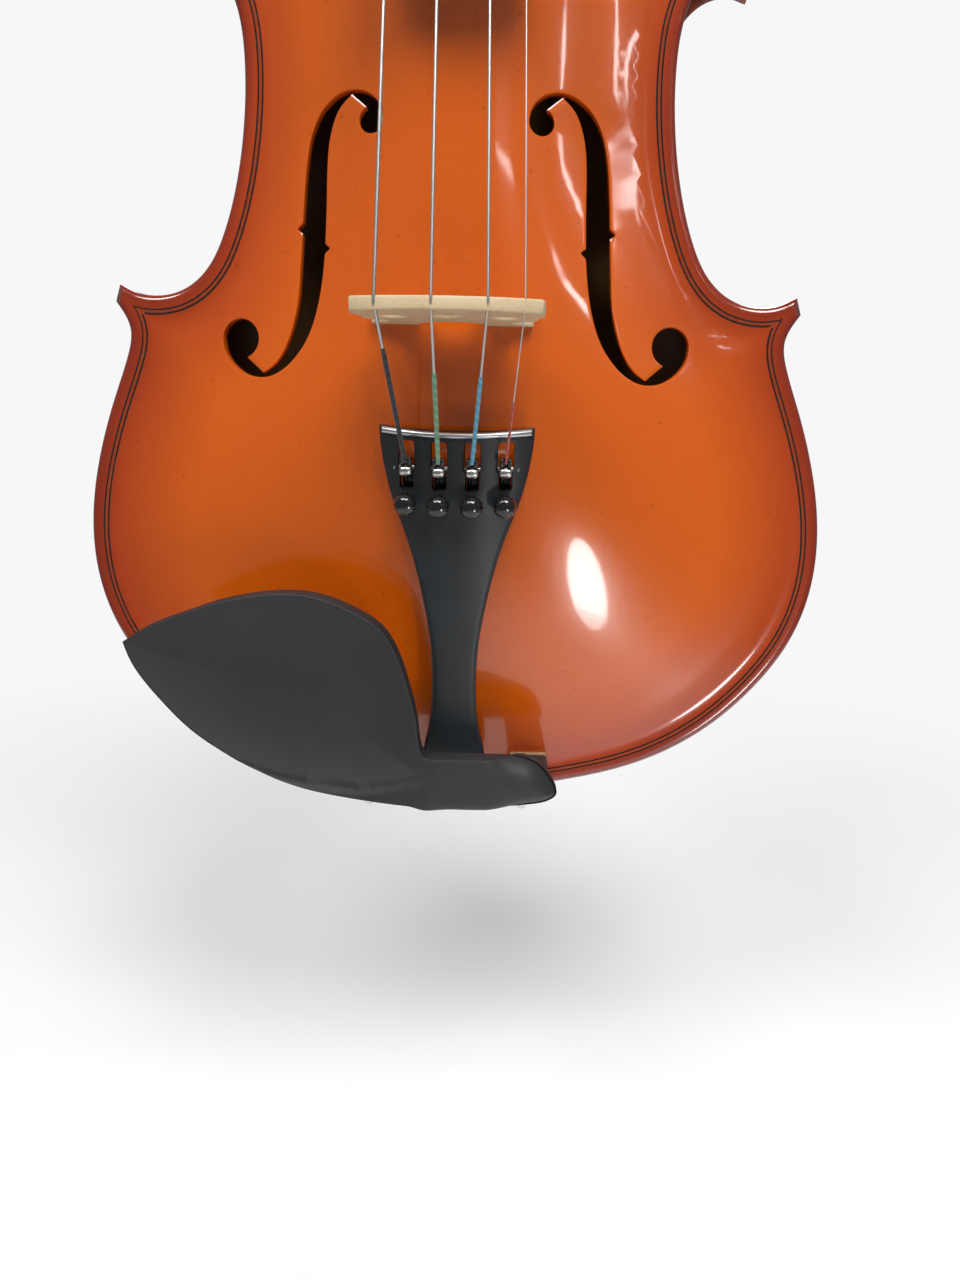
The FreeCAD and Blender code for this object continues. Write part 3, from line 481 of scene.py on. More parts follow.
def spruceVarnish():
    # clear orange varnish over straight-grained spruce, redder and darker towards the edge
    b = Bench("orange varnish on spruce")
    where = b.place((1, 1, 0.035))
    drift = b.noise(b.place((0.03, 0.03, 0.008)), 1.0, 2.0)
    across = b.node("ShaderNodeSeparateXYZ", {}, {"Vector": b.place()}, "X")
    spread = b.noise(b.place((0.16, 0.16, 0.004)), 1.0, 2.0)
    phase = across * (6.283 / varnish["grainEvery"]) + drift * 26 + spread * 22
    lines = (phase.wave() * 0.5 + 0.5) ** 3.0 * spread * 1.6
    fibre = b.noise(where, 2.6, 4.0, 0.6)
    cloud = b.noise(b.place((0.02, 0.02, 0.012)), 1.0, 3.0)
    wood = b.blend((lines * 0.15 + fibre * 0.45).clamp(), varnish["pale"], varnish["mid"])
    rim = b.value("rim")
    toward = (1 - rim + (cloud - 0.5) * 0.35).clamp()
    warm = b.blend((toward * 1.1).clamp(), wood, varnish["deep"])
    dark = b.blend(((toward - 0.72) * 2.4).clamp(), warm, varnish["shade"])
    speck = b.noise(b.place(), 0.5, 1.0).above(0.76)
    colour = b.blend(speck * 0.35, dark, varnish["shade"])
    ripple = b.noise(b.place((1, 1, 0.4)), 0.42, 3.0, 0.5) + lines * 0.03
    inside = b.insideShare(1, rim)
    colour = b.blend(inside, colour, b.blend(fibre, (0.40, 0.21, 0.075), (0.27, 0.13, 0.045)))
    return b.finish(colour, varnish["rough"] + fibre * 0.05 + inside * 0.4, ripple, 0.10, 0.16,
                    Coat_Weight=1 - inside, Coat_Roughness=0.05, Coat_IOR=1.5)


def mapleVarnish(name, pale, deep, flameEvery=9.0, coat=1.0, rough=0.22, strength=0.55, bareSide=0):
    # flamed maple: bands across the length that bend a little, fine pores along it; bareSide is the way
    # along Y that a plate's unvarnished inside faces
    b = Bench(name)
    bandAxis = b.node("ShaderNodeSeparateXYZ", {}, {"Vector": b.place()}, "Z")
    bend = b.noise(b.place((0.05, 0.05, 0.02)), 1.0, 3.0)
    streak = b.noise(b.place((0.05, 0.05, 0.45)), 1.0, 3.0, 0.6)
    flame = ((bandAxis * (6.283 / flameEvery) + bend * 30).wave() * 0.5 + 0.5) * streak * 1.5
    pore = b.noise(b.place((2.4, 2.4, 0.12)), 1.0, 3.0, 0.65)
    mix = (flame * strength + pore * 0.35 - 0.05).clamp()
    colour = b.blend(mix, deep, pale)
    bump = b.noise(b.place((1, 1, 0.3)), 0.5, 2.0) + pore * 0.2
    if bareSide:
        inside = b.insideShare(bareSide, b.value("rim"))
        colour = b.blend(inside, colour, b.blend(pore, (0.36, 0.19, 0.075), (0.24, 0.12, 0.045)))
        coat = coat * (1 - inside)
    return b.finish(colour, rough + pore * 0.08, bump, 0.08, 0.15, Coat_Weight=coat, Coat_Roughness=0.05)


def bareWood(name, pale, dark, every=1.3, rough=0.62, axis="X"):
    b = Bench(name)
    across = b.node("ShaderNodeSeparateXYZ", {}, {"Vector": b.place()}, axis)
    drift = b.noise(b.place((0.06, 0.06, 0.02)), 1.0, 2.0)
    lines = ((across * (6.283 / every) + drift * 14).wave() * 0.5 + 0.5) ** 2.0
    fibre = b.noise(b.place((3, 3, 0.3)), 1.0, 4.0, 0.6)
    colour = b.blend((lines * 0.5 + fibre * 0.4).clamp(), pale, dark)
    return b.finish(colour, rough + fibre * 0.1, fibre, 0.06, 0.25)


def bridgeMaple():
    # quarter-cut maple: short flecks and fine pores over a cloudy tone
    b = Bench("bare maple of the bridge")
    fleck = b.noise(b.place((0.55, 2.2, 2.2)), 1.0, 3.0, 0.55)
    pore = b.noise(b.place((5.5, 0.9, 5.5)), 1.0, 3.0, 0.6)
    cloud = b.noise(b.place((0.12, 0.12, 0.12)), 1.0, 2.0)
    base = b.blend(cloud, (0.72, 0.57, 0.36), (0.60, 0.45, 0.26))
    flecked = b.blend(((fleck - 0.52) * 3.4).clamp() * 0.55, base, (0.42, 0.28, 0.14))
    colour = b.blend(((pore - 0.55) * 3.0).clamp() * 0.4, flecked, (0.36, 0.24, 0.12))
    return b.finish(colour, 0.5 + pore * 0.15, pore, 0.05, 0.3)


def ebonyWood():
    b = Bench("polished ebony")
    grain = b.noise(b.place((1.8, 1.8, 0.07)), 1.0, 4.0, 0.6)
    cloud = b.noise(b.place((0.08, 0.08, 0.03)), 1.0, 2.0)
    colour = b.blend((grain * cloud * 1.3).clamp(), (0.008, 0.007, 0.006), (0.045, 0.032, 0.024))
    return b.finish(colour, 0.27 + grain * 0.12, grain, 0.04, 0.2, Coat_Weight=0.15, Coat_Roughness=0.2)


def blackComposite(name, colour, rough, grainScale, coat=0.0, depth=0.2):
    # moulded black plastic: faint cloudy tone, a fine even grain, small scuffs
    b = Bench(name)
    fine = b.noise(b.place(), grainScale, 2.0, 0.5)
    cloud = b.noise(b.place((0.05, 0.05, 0.05)), 1.0, 3.0)
    scuff = ((b.noise(b.place((0.5, 0.25, 0.09)), 1.0, 5.0, 0.7) - 0.62) * 5).clamp()
    lighter = tuple(c * 1.9 + 0.004 for c in colour)
    tone = b.blend((cloud * 0.7 + scuff * 0.3).clamp(), colour, lighter)
    return b.finish(tone, rough + cloud * 0.08 - scuff * 0.06, fine, 0.03, depth, Coat_Weight=coat,
                    Coat_Roughness=0.08)


def plainMetal(name, colour, rough, streak=(1, 1, 0.05)):
    b = Bench(name)
    line = b.noise(b.place(streak), 3.0, 3.0, 0.6)
    cloud = b.noise(b.place((0.2, 0.2, 0.2)), 1.0, 2.0)
    tone = b.blend(cloud * 0.5, colour, tuple(c * 0.72 for c in colour))
    return b.finish(tone, rough + line * 0.12, line, 0.01, 0.15, Metallic=1.0)


def woundString(name, colour, every):
    # flat wire wound round the string: one dark line for each turn
    b = Bench(name)
    along = b.node("ShaderNodeUVMap", {"uv_map": "along"}, {})
    parts = b.node("ShaderNodeSeparateXYZ", {}, {"Vector": along}, "Y")
    side = b.node("ShaderNodeSeparateXYZ", {}, {"Vector": along}, "X")
    turn = ((parts * (6.283 / every) + side * 6.283).wave() * 0.5 + 0.5)
    tarnish = b.noise(b.place((0.25, 0.25, 0.25)), 1.0, 3.0)
    tone = b.blend((turn ** 4.0 * 0.35 + tarnish * 0.3).clamp(), colour, tuple(c * 0.4 for c in colour))
    return b.finish(tone, 0.28 + tarnish * 0.15, turn, 0.02, 0.4, Metallic=0.85)


def silkThread(name, colour, second):
    # thread wound over the string's end, in slanting turns with a paler strand
    b = Bench(name)
    along = b.node("ShaderNodeUVMap", {"uv_map": "along"}, {})
    parts = b.node("ShaderNodeSeparateXYZ", {}, {"Vector": along}, "Y")
    side = b.node("ShaderNodeSeparateXYZ", {}, {"Vector": along}, "X")
    strand = ((parts * 12.0 + side * 6.283).wave() * 0.5 + 0.5)
    wide = ((parts * 2.7 + side * 6.283).wave() * 0.5 + 0.5)
    fuzz = b.noise(b.place(), 2.2, 3.0, 0.7)
    tone = b.blend(((wide ** 3.0) * 0.55 + fuzz * 0.35).clamp(), colour, second)
    return b.finish(tone, 0.62 + fuzz * 0.2, strand + fuzz * 0.3, 0.06, 0.6, Sheen_Weight=0.3)


def inlayStrip():
    # black, stained pale, black, across the strip
    b = Bench("purfling")
    where = b.node("ShaderNodeUVMap", {"uv_map": "along"}, {})
    across = b.node("ShaderNodeSeparateXYZ", {}, {"Vector": where}, "X")
    middle = b.node("ShaderNodeMath", {"operation": "ABSOLUTE"}, {0: across - 0.5})
    ragged = b.noise(b.place(), 1.2, 3.0)
    pale = 1 - ((middle + (ragged - 0.5) * 0.05 - 0.20) * 22).clamp()
    wood = b.blend(ragged, (0.36, 0.050, 0.005), (0.22, 0.026, 0.004))
    colour = b.blend(pale, (0.010, 0.006, 0.005), wood)
    return b.finish(colour, 0.16 + ragged * 0.04, ragged, 0.03, 0.1, Coat_Weight=1.0, Coat_Roughness=0.035)


def corkSheet():
    b = Bench("cork")
    cells = b.node("ShaderNodeTexVoronoi", {}, {"Vector": b.place(), "Scale": 0.9}, "Distance")
    fine = b.noise(b.place(), 1.4, 4.0, 0.7)
    colour = b.blend((cells * 0.8 + fine * 0.4 - 0.2).clamp(), (0.20, 0.10, 0.045), (0.47, 0.30, 0.16))
    return b.finish(colour, 0.85, cells + fine, 0.2, 0.5)


def gutCord():
    b = Bench("black tail cord")
    line = b.noise(b.place((2, 2, 0.3)), 1.0, 3.0)
    colour = b.blend(line, (0.012, 0.012, 0.012), (0.04, 0.04, 0.04))
    return b.finish(colour, 0.42 + line * 0.1, line, 0.05, 0.2)


looks = {
    "spruce": spruceVarnish(),
    "maple": mapleVarnish("red brown varnish on maple", (0.50, 0.075, 0.006), (0.17, 0.014, 0.004),
                          bareSide=-1),
    "ribs": mapleVarnish("red brown varnish on the ribs", (0.34, 0.040, 0.005), (0.10, 0.008, 0.004), 8.0),
    "neck": mapleVarnish("satin maple of the neck", (0.52, 0.15, 0.02), (0.28, 0.055, 0.008), 7.0, 0.35, 0.33),
    "headMaple": mapleVarnish("red brown varnish on the head", (0.44, 0.070, 0.007), (0.17, 0.018, 0.004),
                              6.0),
    "bare": bareWood("bare spruce inside", (0.62, 0.42, 0.22), (0.42, 0.25, 0.11)),
    "bridge": bridgeMaple(),
    "ebony": ebonyWood(),
    "tail": blackComposite("satin black tailpiece", (0.010, 0.0125, 0.0145), 0.36, 1.8),
    "rest": blackComposite("matt black chin rest", (0.013, 0.0145, 0.0155), 0.52, 2.4, depth=0.25),
    "knob": blackComposite("gloss black tuner", (0.006, 0.006, 0.007), 0.10, 1.0, 0.6, 0.05),
    "steel": plainMetal("bright steel", (0.62, 0.61, 0.58), 0.22),
    # painted highlight: the fret's pale metal stands in for the shine along the tailpiece ridge's edge
    "fret": plainMetal("bright fret line", (0.60, 0.60, 0.60), 0.25),
    "chrome": plainMetal("plated clamp", (0.78, 0.78, 0.78), 0.12),
    "inlay": inlayStrip(),
    "cork": corkSheet(),
    "gut": gutCord(),
    # painted shade: the near-black rods that stand for the clamp barrels' key holes
    "dark": plainMetal("painted key hole shade", (0.03, 0.03, 0.03), 0.5),
}
print("materials ready")


# the outline and the arching

lowerHalf = [(0, 0), (32, 3.9), (56, 10.6), (74.5, 21), (88.5, 34.5), (98, 49), (102.9, 66),
             (103.2, 80), (99.8, 98.5), (94, 115.5), (90.1, 125.5), (88.9, 132.5), (92.5, 139.6)]
waistHalf = [(91, 144.2), (86.3, 141.9), (80, 141.3), (73.5, 143.1), (66.9, 148.6), (62.3, 157),
             (58, 171), (55.6, 186), (55.1, 199), (56.2, 209), (59.4, 217.3), (64.4, 223.4),
             (70.5, 226.3), (75, 226.2), (78.2, 225)]
upperHalf = [(79.6, 229.2), (77.3, 232.2), (76, 237.4), (76.5, 247), (79.3, 260), (82.4, 274),
             (83.6, 288), (82.1, 303), (77.2, 318), (68.2, 331.5), (55.5, 342.5), (39, 350.2),
             (20, 354.6), (0, 355.8)]


def flipped(points):
    return [(-x, z) for x, z in points]


bouts = [smoothLine(points, 1600) for points in (
    flipped(lowerHalf[:0:-1]) + lowerHalf, waistHalf, upperHalf + flipped(upperHalf[-2::-1]),
    flipped(waistHalf[::-1]))]
outline = joinLoop(*[evenly(bout, int(lineLength(bout) / 1.1)) for bout in bouts])


def insetBout(index, inset, count):
    # a bout moved inwards, ending where its neighbours are as near as itself
    line = bouts[index]
    way = np.gradient(line, axis=0)
    way /= np.linalg.norm(way, axis=1)[:, None]
    moved = line + np.stack([-way[:, 1], way[:, 0]], 1) * inset
    near = np.min([distanceTo(moved, bouts[k][::4], False) for k in range(4) if k != index], axis=0)
    good = np.nonzero(near >= inset)[0]
    return evenly(moved[good[0]:good[-1] + 1], count)


def archWidth(along):
    lowHalf, lowAt = arching["lower"]
    waistHalfWidth, waistFrom, waistTo = arching["waist"]
    upHalf, upAt = arching["upper"]
    lowEnd = lowHalf * np.sqrt(np.clip(1 - ((lowAt - along) / lowAt) ** 2, 0, 1))
    upEnd = upHalf * np.sqrt(np.clip(1 - ((along - upAt) / (body["length"] - upAt)) ** 2, 0, 1))
    lowEase = lowHalf + (waistHalfWidth - lowHalf) * easeIn((along - lowAt) / (waistFrom - lowAt))
    upEase = waistHalfWidth + (upHalf - waistHalfWidth) * easeIn((along - waistTo) / (upAt - waistTo))
    return np.select([along <= lowAt, along <= waistTo, along <= upAt], [lowEnd, lowEase, upEase], upEnd)


def archShare(x, along):
    # 0 at the edge, 1 at the middle: a long arch times a bell-shaped cross arch
    run = np.clip((np.minimum(along, body["length"] - along) - arching["start"]) / arching["run"], 0, 1)
    alongShare = (1 - (1 - run) ** 2) ** 1.25
    width = np.maximum(archWidth(along), 1e-3)
    across = np.clip(x / width, -1, 1) ** 2
    return alongShare * (1 - across) ** 2 * (1 + 0.25 * across)


def plateHeight(rise):
    def height(x, along, d, dHole):
        flute = body["flute"] * np.exp(-((d - body["fluteAt"]) / body["fluteWidth"]) ** 2)
        level = body["ribDepth"] / 2 + body["edge"] + rise * archShare(x, along) - flute
        return level - roundOff(d, body["edgeRound"]) - roundOff(dHole, 0.25)
    return height


def plateUnder(rise, wood):
    def height(x, along, d, dHole):
        hollow = rise + body["edge"] - wood - body["ledge"]
        share = easeIn((d - 5.8) / 1.6)
        level = body["ribDepth"] / 2 + share * (body["ledge"] + hollow * archShare(x, along))
        return level + roundOff(d, body["edgeRound"])
    return height


frontTop = plateHeight(body["frontRise"])
backTop = plateHeight(body["backRise"])


def frontPlace(x, along, w):
    return np.stack([x, -w, along + footZ], -1)


def backPlace(x, along, w):
    return np.stack([-x, w, along + footZ], -1)


def rimShade(x, along, d, dHole):
    # how far in from the edge, 0 to 1, reaching full value 19 mm in at the waist and 30 mm in at the bouts
    reach = 19 + 11 * easeIn((np.abs(along - 195) - 20) / 60)
    return np.clip(d / reach, 0, 1) ** 0.8


holeShape = {
    "upperEye": (-21.0, 182.3, 3.1), "lowerEye": (-57.5, 130.3, 5.1),
    "outer": [(-17.9, 182.3), (-18.5, 184.9), (-20.0, 187.0), (-22.4, 188.6), (-25.6, 189.3), (-28.7, 189.0),
              (-31.3, 187.8), (-33.8, 185.8), (-35.8, 183.0), (-37.2, 179.8), (-38.1, 176.2), (-38.7, 172.3),
              (-39.3, 166.0), (-39.7, 160.0), (-40.0, 153.5), (-40.4, 147.0), (-40.8, 141.4), (-41.5, 137.1),
              (-42.5, 133.3), (-43.9, 129.5), (-45.8, 126.0), (-48.2, 123.3), (-50.9, 121.5)],
    "inner": [(-62.6, 130.3), (-62.2, 127.6), (-61.1, 125.4), (-59.4, 123.4), (-57.2, 121.8), (-54.9, 120.8),
              (-52.5, 120.4), (-50.1, 120.5), (-47.8, 121.2), (-45.3, 122.6), (-42.9, 124.6), (-40.6, 127.2),
              (-38.7, 130.1), (-37.0, 133.8), (-35.8, 137.6), (-34.9, 141.6), (-34.2, 146.0), (-33.7, 151.0),
              (-33.4, 157.0), (-33.2, 163.0), (-33.1, 169.0), (-32.9, 173.5), (-32.4, 178.0), (-31.3, 182.0),
              (-29.4, 185.6), (-26.1, 188.4)],
    "nick": (1.5, 1.2), "outerNickAt": 157.8, "innerNickAt": 152.6,
}


def nicked(line, along, way):
    # a small V cut into one side of the stem
    depth, half = holeShape["nick"]
    moved = line.copy()
    moved[:, 0] += way * depth * np.clip(1 - np.abs(line[:, 1] - along) / half, 0, 1)
    return moved


def soundHole():
    ux, uz, ur = holeShape["upperEye"]
    lx, lz, lr = holeShape["lowerEye"]
    outer = nicked(byStep(holeShape["outer"], 0.55), holeShape["outerNickAt"], -1)
    inner = nicked(byStep(holeShape["inner"], 0.55), holeShape["innerNickAt"], 1)
    return joinLoop(outer, arc(lx, lz, lr, -70, 180, 34), inner, arc(ux, uz, ur, 112, 360, 28))


def notched(loop, half, limit, way):
    # the loop with a square recess where |x| < half and way * z < way * limit
    x, z = loop.T
    gone = (np.abs(x) < half) & (way * z < way * limit)
    first = int(np.nonzero(gone & ~np.roll(gone, 1))[0][0])
    loop = np.roll(loop, -first, 0)
    count = int(gone.sum())
    before, after = loop[-1], loop[count]
    side = np.sign(before[0]) * half
    cut = [(side, before[1]), (side, limit), (-side, limit), (-side, after[1])]
    return joinLoop(loop[count:], evenly(cut, 60))


holes = [soundHole(), soundHole() * np.array([-1, 1])]
frontOutline = notched(notched(outline, 17.0, 6.4, 1), 16.3, 349.2, -1)
plateRings = [0.1, 0.3, 0.6, 1.0, 1.5, 2.1, 2.9, 4.0, 5.4, 7.0, 9.0]
topPlate = boardPiece("topPlate", frontOutline, holes, plateRings, [0.12, 0.3, 0.8], 2.6, frontTop,
                      plateUnder(body["frontRise"], body["frontWood"]), frontPlace, looks["spruce"], rimShade,
                      rim=outline)
finished(topPlate, "violin", "front_varnish", "top_plate")
print("top plate:", len(topPlate.data.polygons), "faces")


def backOutline():
    # the outline with the round button that backs the heel
    x, z = outline.T
    gone = (np.abs(x) < 10.2) & (z > 340)
    first = int(np.nonzero(gone & ~np.roll(gone, 1))[0][0])
    loop = np.roll(outline, -first, 0)
    count = int(gone.sum())
    foot = loop[count - 1, 1] - 0.6
    button = arc(0, body["length"] + 2.5, 10.2, 0, 180, 40)
    return joinLoop(loop[count:], evenly([(10.2, foot), (10.2, body["length"] + 2.4)], 6), button,
                    evenly([(-10.2, body["length"] + 2.4), (-10.2, foot)], 6))


backPlate = boardPiece("backPlate", backOutline(), [], plateRings, [], 3.4, backTop,
                       plateUnder(body["backRise"], body["backWood"]), backPlace, looks["maple"], rimShade)
finished(backPlate, "violin", "maple_varnish", "back_plate")

# purfling: strips across the plate at a fixed distance from the edge, 0.05 mm proud, mitred at the corners
inlay = {"count": 420, "proud": 0.05, "depth": 0.7, "across": 6}


def inlayRun(index, height, place, name):
    near = insetBout(index, body["purflingAt"], inlay["count"])
    far = insetBout(index, body["purflingAt"] + body["purflingWidth"], inlay["count"])
    share = np.linspace(0, 1, inlay["across"])
    flat = near[:, None, :] + (far - near)[:, None, :] * share[None, :, None]
    x, z = flat[..., 0], flat[..., 1]
    d = body["purflingAt"] + body["purflingWidth"] * share[None, :]
    level = height(x, z, d, 1e3)
    upper = place(x, z, level + inlay["proud"])
    lower = place(x, z, level - inlay["depth"])[:, ::-1]
    grid = np.concatenate([upper, lower], 1)
    across = np.r_[share, share[::-1]]
    uv = np.stack(np.broadcast_arrays(across[None, :], np.linspace(0, 9, inlay["count"])[:, None]), 2)
    return gridPiece(name, grid, looks["inlay"], wrapColumns=True, caps=True, sharp=50, uv=uv)


for index in range(4):
    frontRun = inlayRun(index, frontTop, frontPlace, f"inlayFront{index}")
    backRun = inlayRun(index, backTop, backPlace, f"inlayBack{index}")
    finished(frontRun, "violin", "inlay", "purfling")
    finished(backRun, "violin", "inlay", "purfling")
print("back and purfling")


# ribs: the outline moved in by the overhang, carried through the body's depth
def ribPiece(name, index, keep, node):
    outer = insetBout(index, body["overhang"], 700)
    inner = insetBout(index, body["overhang"] + body["ribThickness"], 700)
    chosen = keep(outer[:, 0])
    outer, inner = outer[chosen], inner[chosen]
    half = body["ribDepth"] / 2
    depth = np.linspace(-half, half, 13)
    ones = np.ones_like(depth)
    front = np.stack([outer[:, 0, None] * ones, np.broadcast_to(depth, (len(outer), 13)),
                      (outer[:, 1, None] + footZ) * ones], 2)
    back = np.stack([inner[:, 0, None] * ones, np.broadcast_to(depth[::-1], (len(inner), 13)),
                     (inner[:, 1, None] + footZ) * ones], 2)
    grid = np.concatenate([front, back], 1)
    piece = gridPiece(name, grid, looks["ribs"], wrapColumns=True, caps=True, flip=True, sharp=50)
    return finished(piece, "violin", "maple_varnish", node)


ribPiece("lowerRibBass", 0, lambda x: x <= 0.001, "lower_rib_bass")
ribPiece("lowerRibTreble", 0, lambda x: x >= -0.001, "lower_rib_treble")
ribPiece("waistRibTreble", 1, lambda x: x > -500, "c_rib_treble")
ribPiece("upperRibTreble", 2, lambda x: x > 16.0, "upper_rib_treble")
ribPiece("upperRibBass", 2, lambda x: x < -16.0, "upper_rib_bass")
ribPiece("waistRibBass", 3, lambda x: x > -500, "c_rib_bass")
print("ribs")


# bridge: a carved board, thinner towards the crown, its edges softly broken
bridgeShape = {
    "side": [(20.3, 0), (20.6, 1.6), (18.0, 3.4), (15.6, 6.0), (15.2, 9.0), (17.2, 11.6), (20.2, 13.4),
             (21.3, 15.6), (20.6, 17.4)],
    "wing": [(20.8, 19.6), (22.3, 22.5), (22.6, 26.0), (21.9, 30.4)],
    "arch": [(8.4, 0), (8.3, 1.6), (5.4, 6.6), (0, 8.6), (-5.4, 6.6), (-8.3, 1.6), (-8.4, 0)],
    "kidney": (13.6, 18.6, 3.7), "slit": (17.45, 19.5), "foot": 4.6, "top": 3.0,
    "heart": [(0, 15.4), (2.4, 18.2), (4.3, 21.0), (4.4, 23.3), (2.9, 24.7), (1.1, 24.3), (0, 22.6)],
}


def bridgeOutline():
    side = byStep(bridgeShape["side"], 0.5)
    wing = byStep(bridgeShape["wing"], 0.5)
    kx, kh, kr = bridgeShape["kidney"]
    low, high = bridgeShape["slit"]
    # the kidney opens to the side through a slit
    start = math.degrees(math.asin((low - kh) / kr))
    end = math.degrees(math.asin((high - kh) / kr))
    kidney = arc(kx, kh, kr, start, end - 360, 44)
    top = arc(0, crown["height"] - crown["radius"], crown["radius"], 58.6, 121.4, 90)
    halfRight = np.concatenate([side, kidney, wing])
    halfLeft = halfRight[::-1] * np.array([-1, 1])
    arch = byStep(bridgeShape["arch"][::-1], 0.5)
    return joinLoop(halfRight, top, halfLeft, evenly([(-20.0, 0), (-8.8, 0)], 24), arch,
                    evenly([(8.8, 0), (20.0, 0)], 24))


def bridgeHalf(x, h, d, dHole):
    foot, top = bridgeShape["foot"] / 2, bridgeShape["top"] / 2
    thick = foot + (top - foot) * np.clip(h / crown["height"], 0, 1)
    return thick - roundOff(np.minimum(d, dHole), 0.45)


def bridgePlace(x, h, w):
    # the feet follow the arching of the plate
    foot = crown["y"] + crown["height"]
    z = crown["at"] + footZ + w
    level = body["ribDepth"] / 2 + body["edge"] + body["frontRise"] * archShare(x, z - footZ)
    lift = np.clip(1 - h / 1.8, 0, 1)
    y = (foot - h) * (1 - lift) + (-level - 0.02) * lift
    return np.stack([x, y, z], -1)


heartHalf = byStep(bridgeShape["heart"], 0.35)
heart = joinLoop(heartHalf, heartHalf[::-1] * np.array([-1, 1]))
bridge = boardPiece("bridge", bridgeOutline(), [heart], [0.08, 0.22, 0.42, 0.8], [0.08, 0.22, 0.42], 0.9,
                    bridgeHalf, lambda *p: -bridgeHalf(*p), bridgePlace, looks["bridge"])
finished(bridge, "violin", "bridge_maple", "bridge")
print("bridge:", len(bridge.data.polygons), "faces")


# tailpiece, in its own tilted frame: u across, v along, w outwards

def tailPlace(u, v, w):
    c, s = math.cos(tail["tilt"]), math.sin(tail["tilt"])
    u, v, w = np.broadcast_arrays(np.asarray(u, float), v, w)
    return np.stack([tail["x"] + u, tail["y"] - w * c - v * s, tail["at"] + footZ - w * s + v * c], -1)


def sag(u, radius=46.0):
    return radius - np.sqrt(radius * radius - np.asarray(u, float) ** 2)


tailShape = {
    "half": [(7.4, 0), (8.6, 6), (8.9, 14), (7.8, 20), (6.7, 26), (6.1, 34), (6.1, 41), (6.8, 50.6), (8.7, 62),
             (12.1, 75.7), (14.9, 83.6), (17.0, 89.5), (18.8, 97), (19.8, 104), (19.9, 107.2)],
    "topRound": 1.1, "slotHalf": 2.05, "slotNarrow": 1.75,
    "slotFrom": 91.5, "slotStep": 97.0, "slotTo": 104.15,
}
tunerU = [(order - 1.5) * tail["pitch"] for order in range(4)]


def throughArc(one, middle, two, count):
    # circular arc through three points
    a, b, c = (np.asarray(p, float) for p in (one, middle, two))
    m = np.array([b - a, c - a]) * 2
    r = np.array([b @ b - a @ a, c @ c - a @ a])
    centre = np.linalg.solve(m, r)
    start, mid, end = (math.atan2(*(p - centre)[::-1]) for p in (a, b, c))
    turns = np.unwrap([start, mid, end])
    t = np.linspace(turns[0], turns[2], count)
    return centre + np.linalg.norm(a - centre) * np.stack([np.cos(t), np.sin(t)], 1)


def tailOutline():
    right = byStep(tailShape["half"], 0.6)
    left = right[::-1] * np.array([-1, 1])
    wide = throughArc((19.9, 107.2), (0, 106.7), (-19.9, 107.2), 64)
    narrow = throughArc((-7.4, 0), (0, -1.2), (7.4, 0), 24)
    return joinLoop(right, wide, left, narrow)


def slotLoop(u):
    # a keyhole: wide at the fork, narrower with a round end below it
    half, narrow = tailShape["slotHalf"], tailShape["slotNarrow"]
    low, step, high = tailShape["slotFrom"], tailShape["slotStep"], tailShape["slotTo"]
    r, foot = 0.7, 1.2
    corners = [arc(u + half - r, high - r, r, 0, 90, 6), arc(u - half + r, high - r, r, 90, 180, 6),
               [(u - half, step), (u - narrow, step - 0.5)],
               arc(u - narrow + foot, low + foot, foot, 180, 270, 9),
               arc(u + narrow - foot, low + foot, foot, 270, 360, 9),
               [(u + narrow, step - 0.5), (u + half, step)]]
    loop = np.concatenate(corners)
    return evenly(np.concatenate([loop, loop[:1]]), 84)[:-1]


def tailTop(u, v, d, dHole):
    return -sag(u) - roundOff(d, tailShape["topRound"]) - roundOff(dHole, 0.2)


def tailUnder(u, v, d, dHole):
    return -sag(u) - tail["shell"] + roundOff(d, 0.6)


tailHoles = [slotLoop(u) for u in tunerU] + [arc(u, tail["screwV"], 1.32, 0, 345, 24) for u in tunerU]
tailpiece = boardPiece("tailpiece", tailOutline(), tailHoles, [0.1, 0.3, 0.6, 1.0, 1.6], [0.1, 0.25], 1.1,
                       tailTop, tailUnder, tailPlace, looks["tail"])
finished(tailpiece, "violin", "tailpiece_black", "tailpiece")

# the rib near the wide end follows its hollow edge: a half-round bar on the surface, its pale metal colour a
# painted highlight that stands in for the shine along the black ridge's edge
fretLine = {"inset": 0.86, "half": 0.8, "height": 0.82}
edgeArc = throughArc((19.0, 107.2), (0, 106.7), (-19.0, 107.2), 90)
fretTurn = np.linspace(0, np.pi, 11)
fretGrid = tailPlace(edgeArc[:, 0, None] * np.ones(12),
                     edgeArc[:, 1, None] - fretLine["inset"] + np.r_[fretLine["half"] * np.cos(fretTurn), 0],
                     -sag(edgeArc[:, 0, None]) + np.r_[fretLine["height"] * np.sin(fretTurn), -0.5] - 0.02)
fret = gridPiece("fret", fretGrid, looks["fret"], wrapColumns=True, caps=True, flip=True)
finished(fret, "violin", "fret_metal", "tailpiece_fret")
print("tailpiece:", len(tailpiece.data.polygons), "faces")


# fine tuners: knurled knob, threaded screw, two-pronged lever, the string's ball

knob = {"radius": 2.95, "ribs": 16, "depth": 0.085, "low": 1.9, "height": 5.75, "thread": 0.72}
leverArm = [(86.0, -6.9), (86.0, -5.5), (94.4, -5.5), (95.2, -3.2), (95.2, -0.6), (96.4, 0.5), (98.5, 0.6),
            (98.5, 3.7), (100.6, 3.9), (100.5, 0.4), (99.2, -2.2), (98.2, -6.9)]


screwRun = {"tip": -5.38, "top": 4.2, "radius": 1.22, "count": 150, "cut": 0.07}
ballEnd = {"v": 96.95, "w": 2.2, "middle": 0.95, "tube": 0.5, "half": 1.5}
fork = {"prongAt": 0.98, "prongHalf": 0.5, "webHalf": 0.7, "webTop": 0.55}


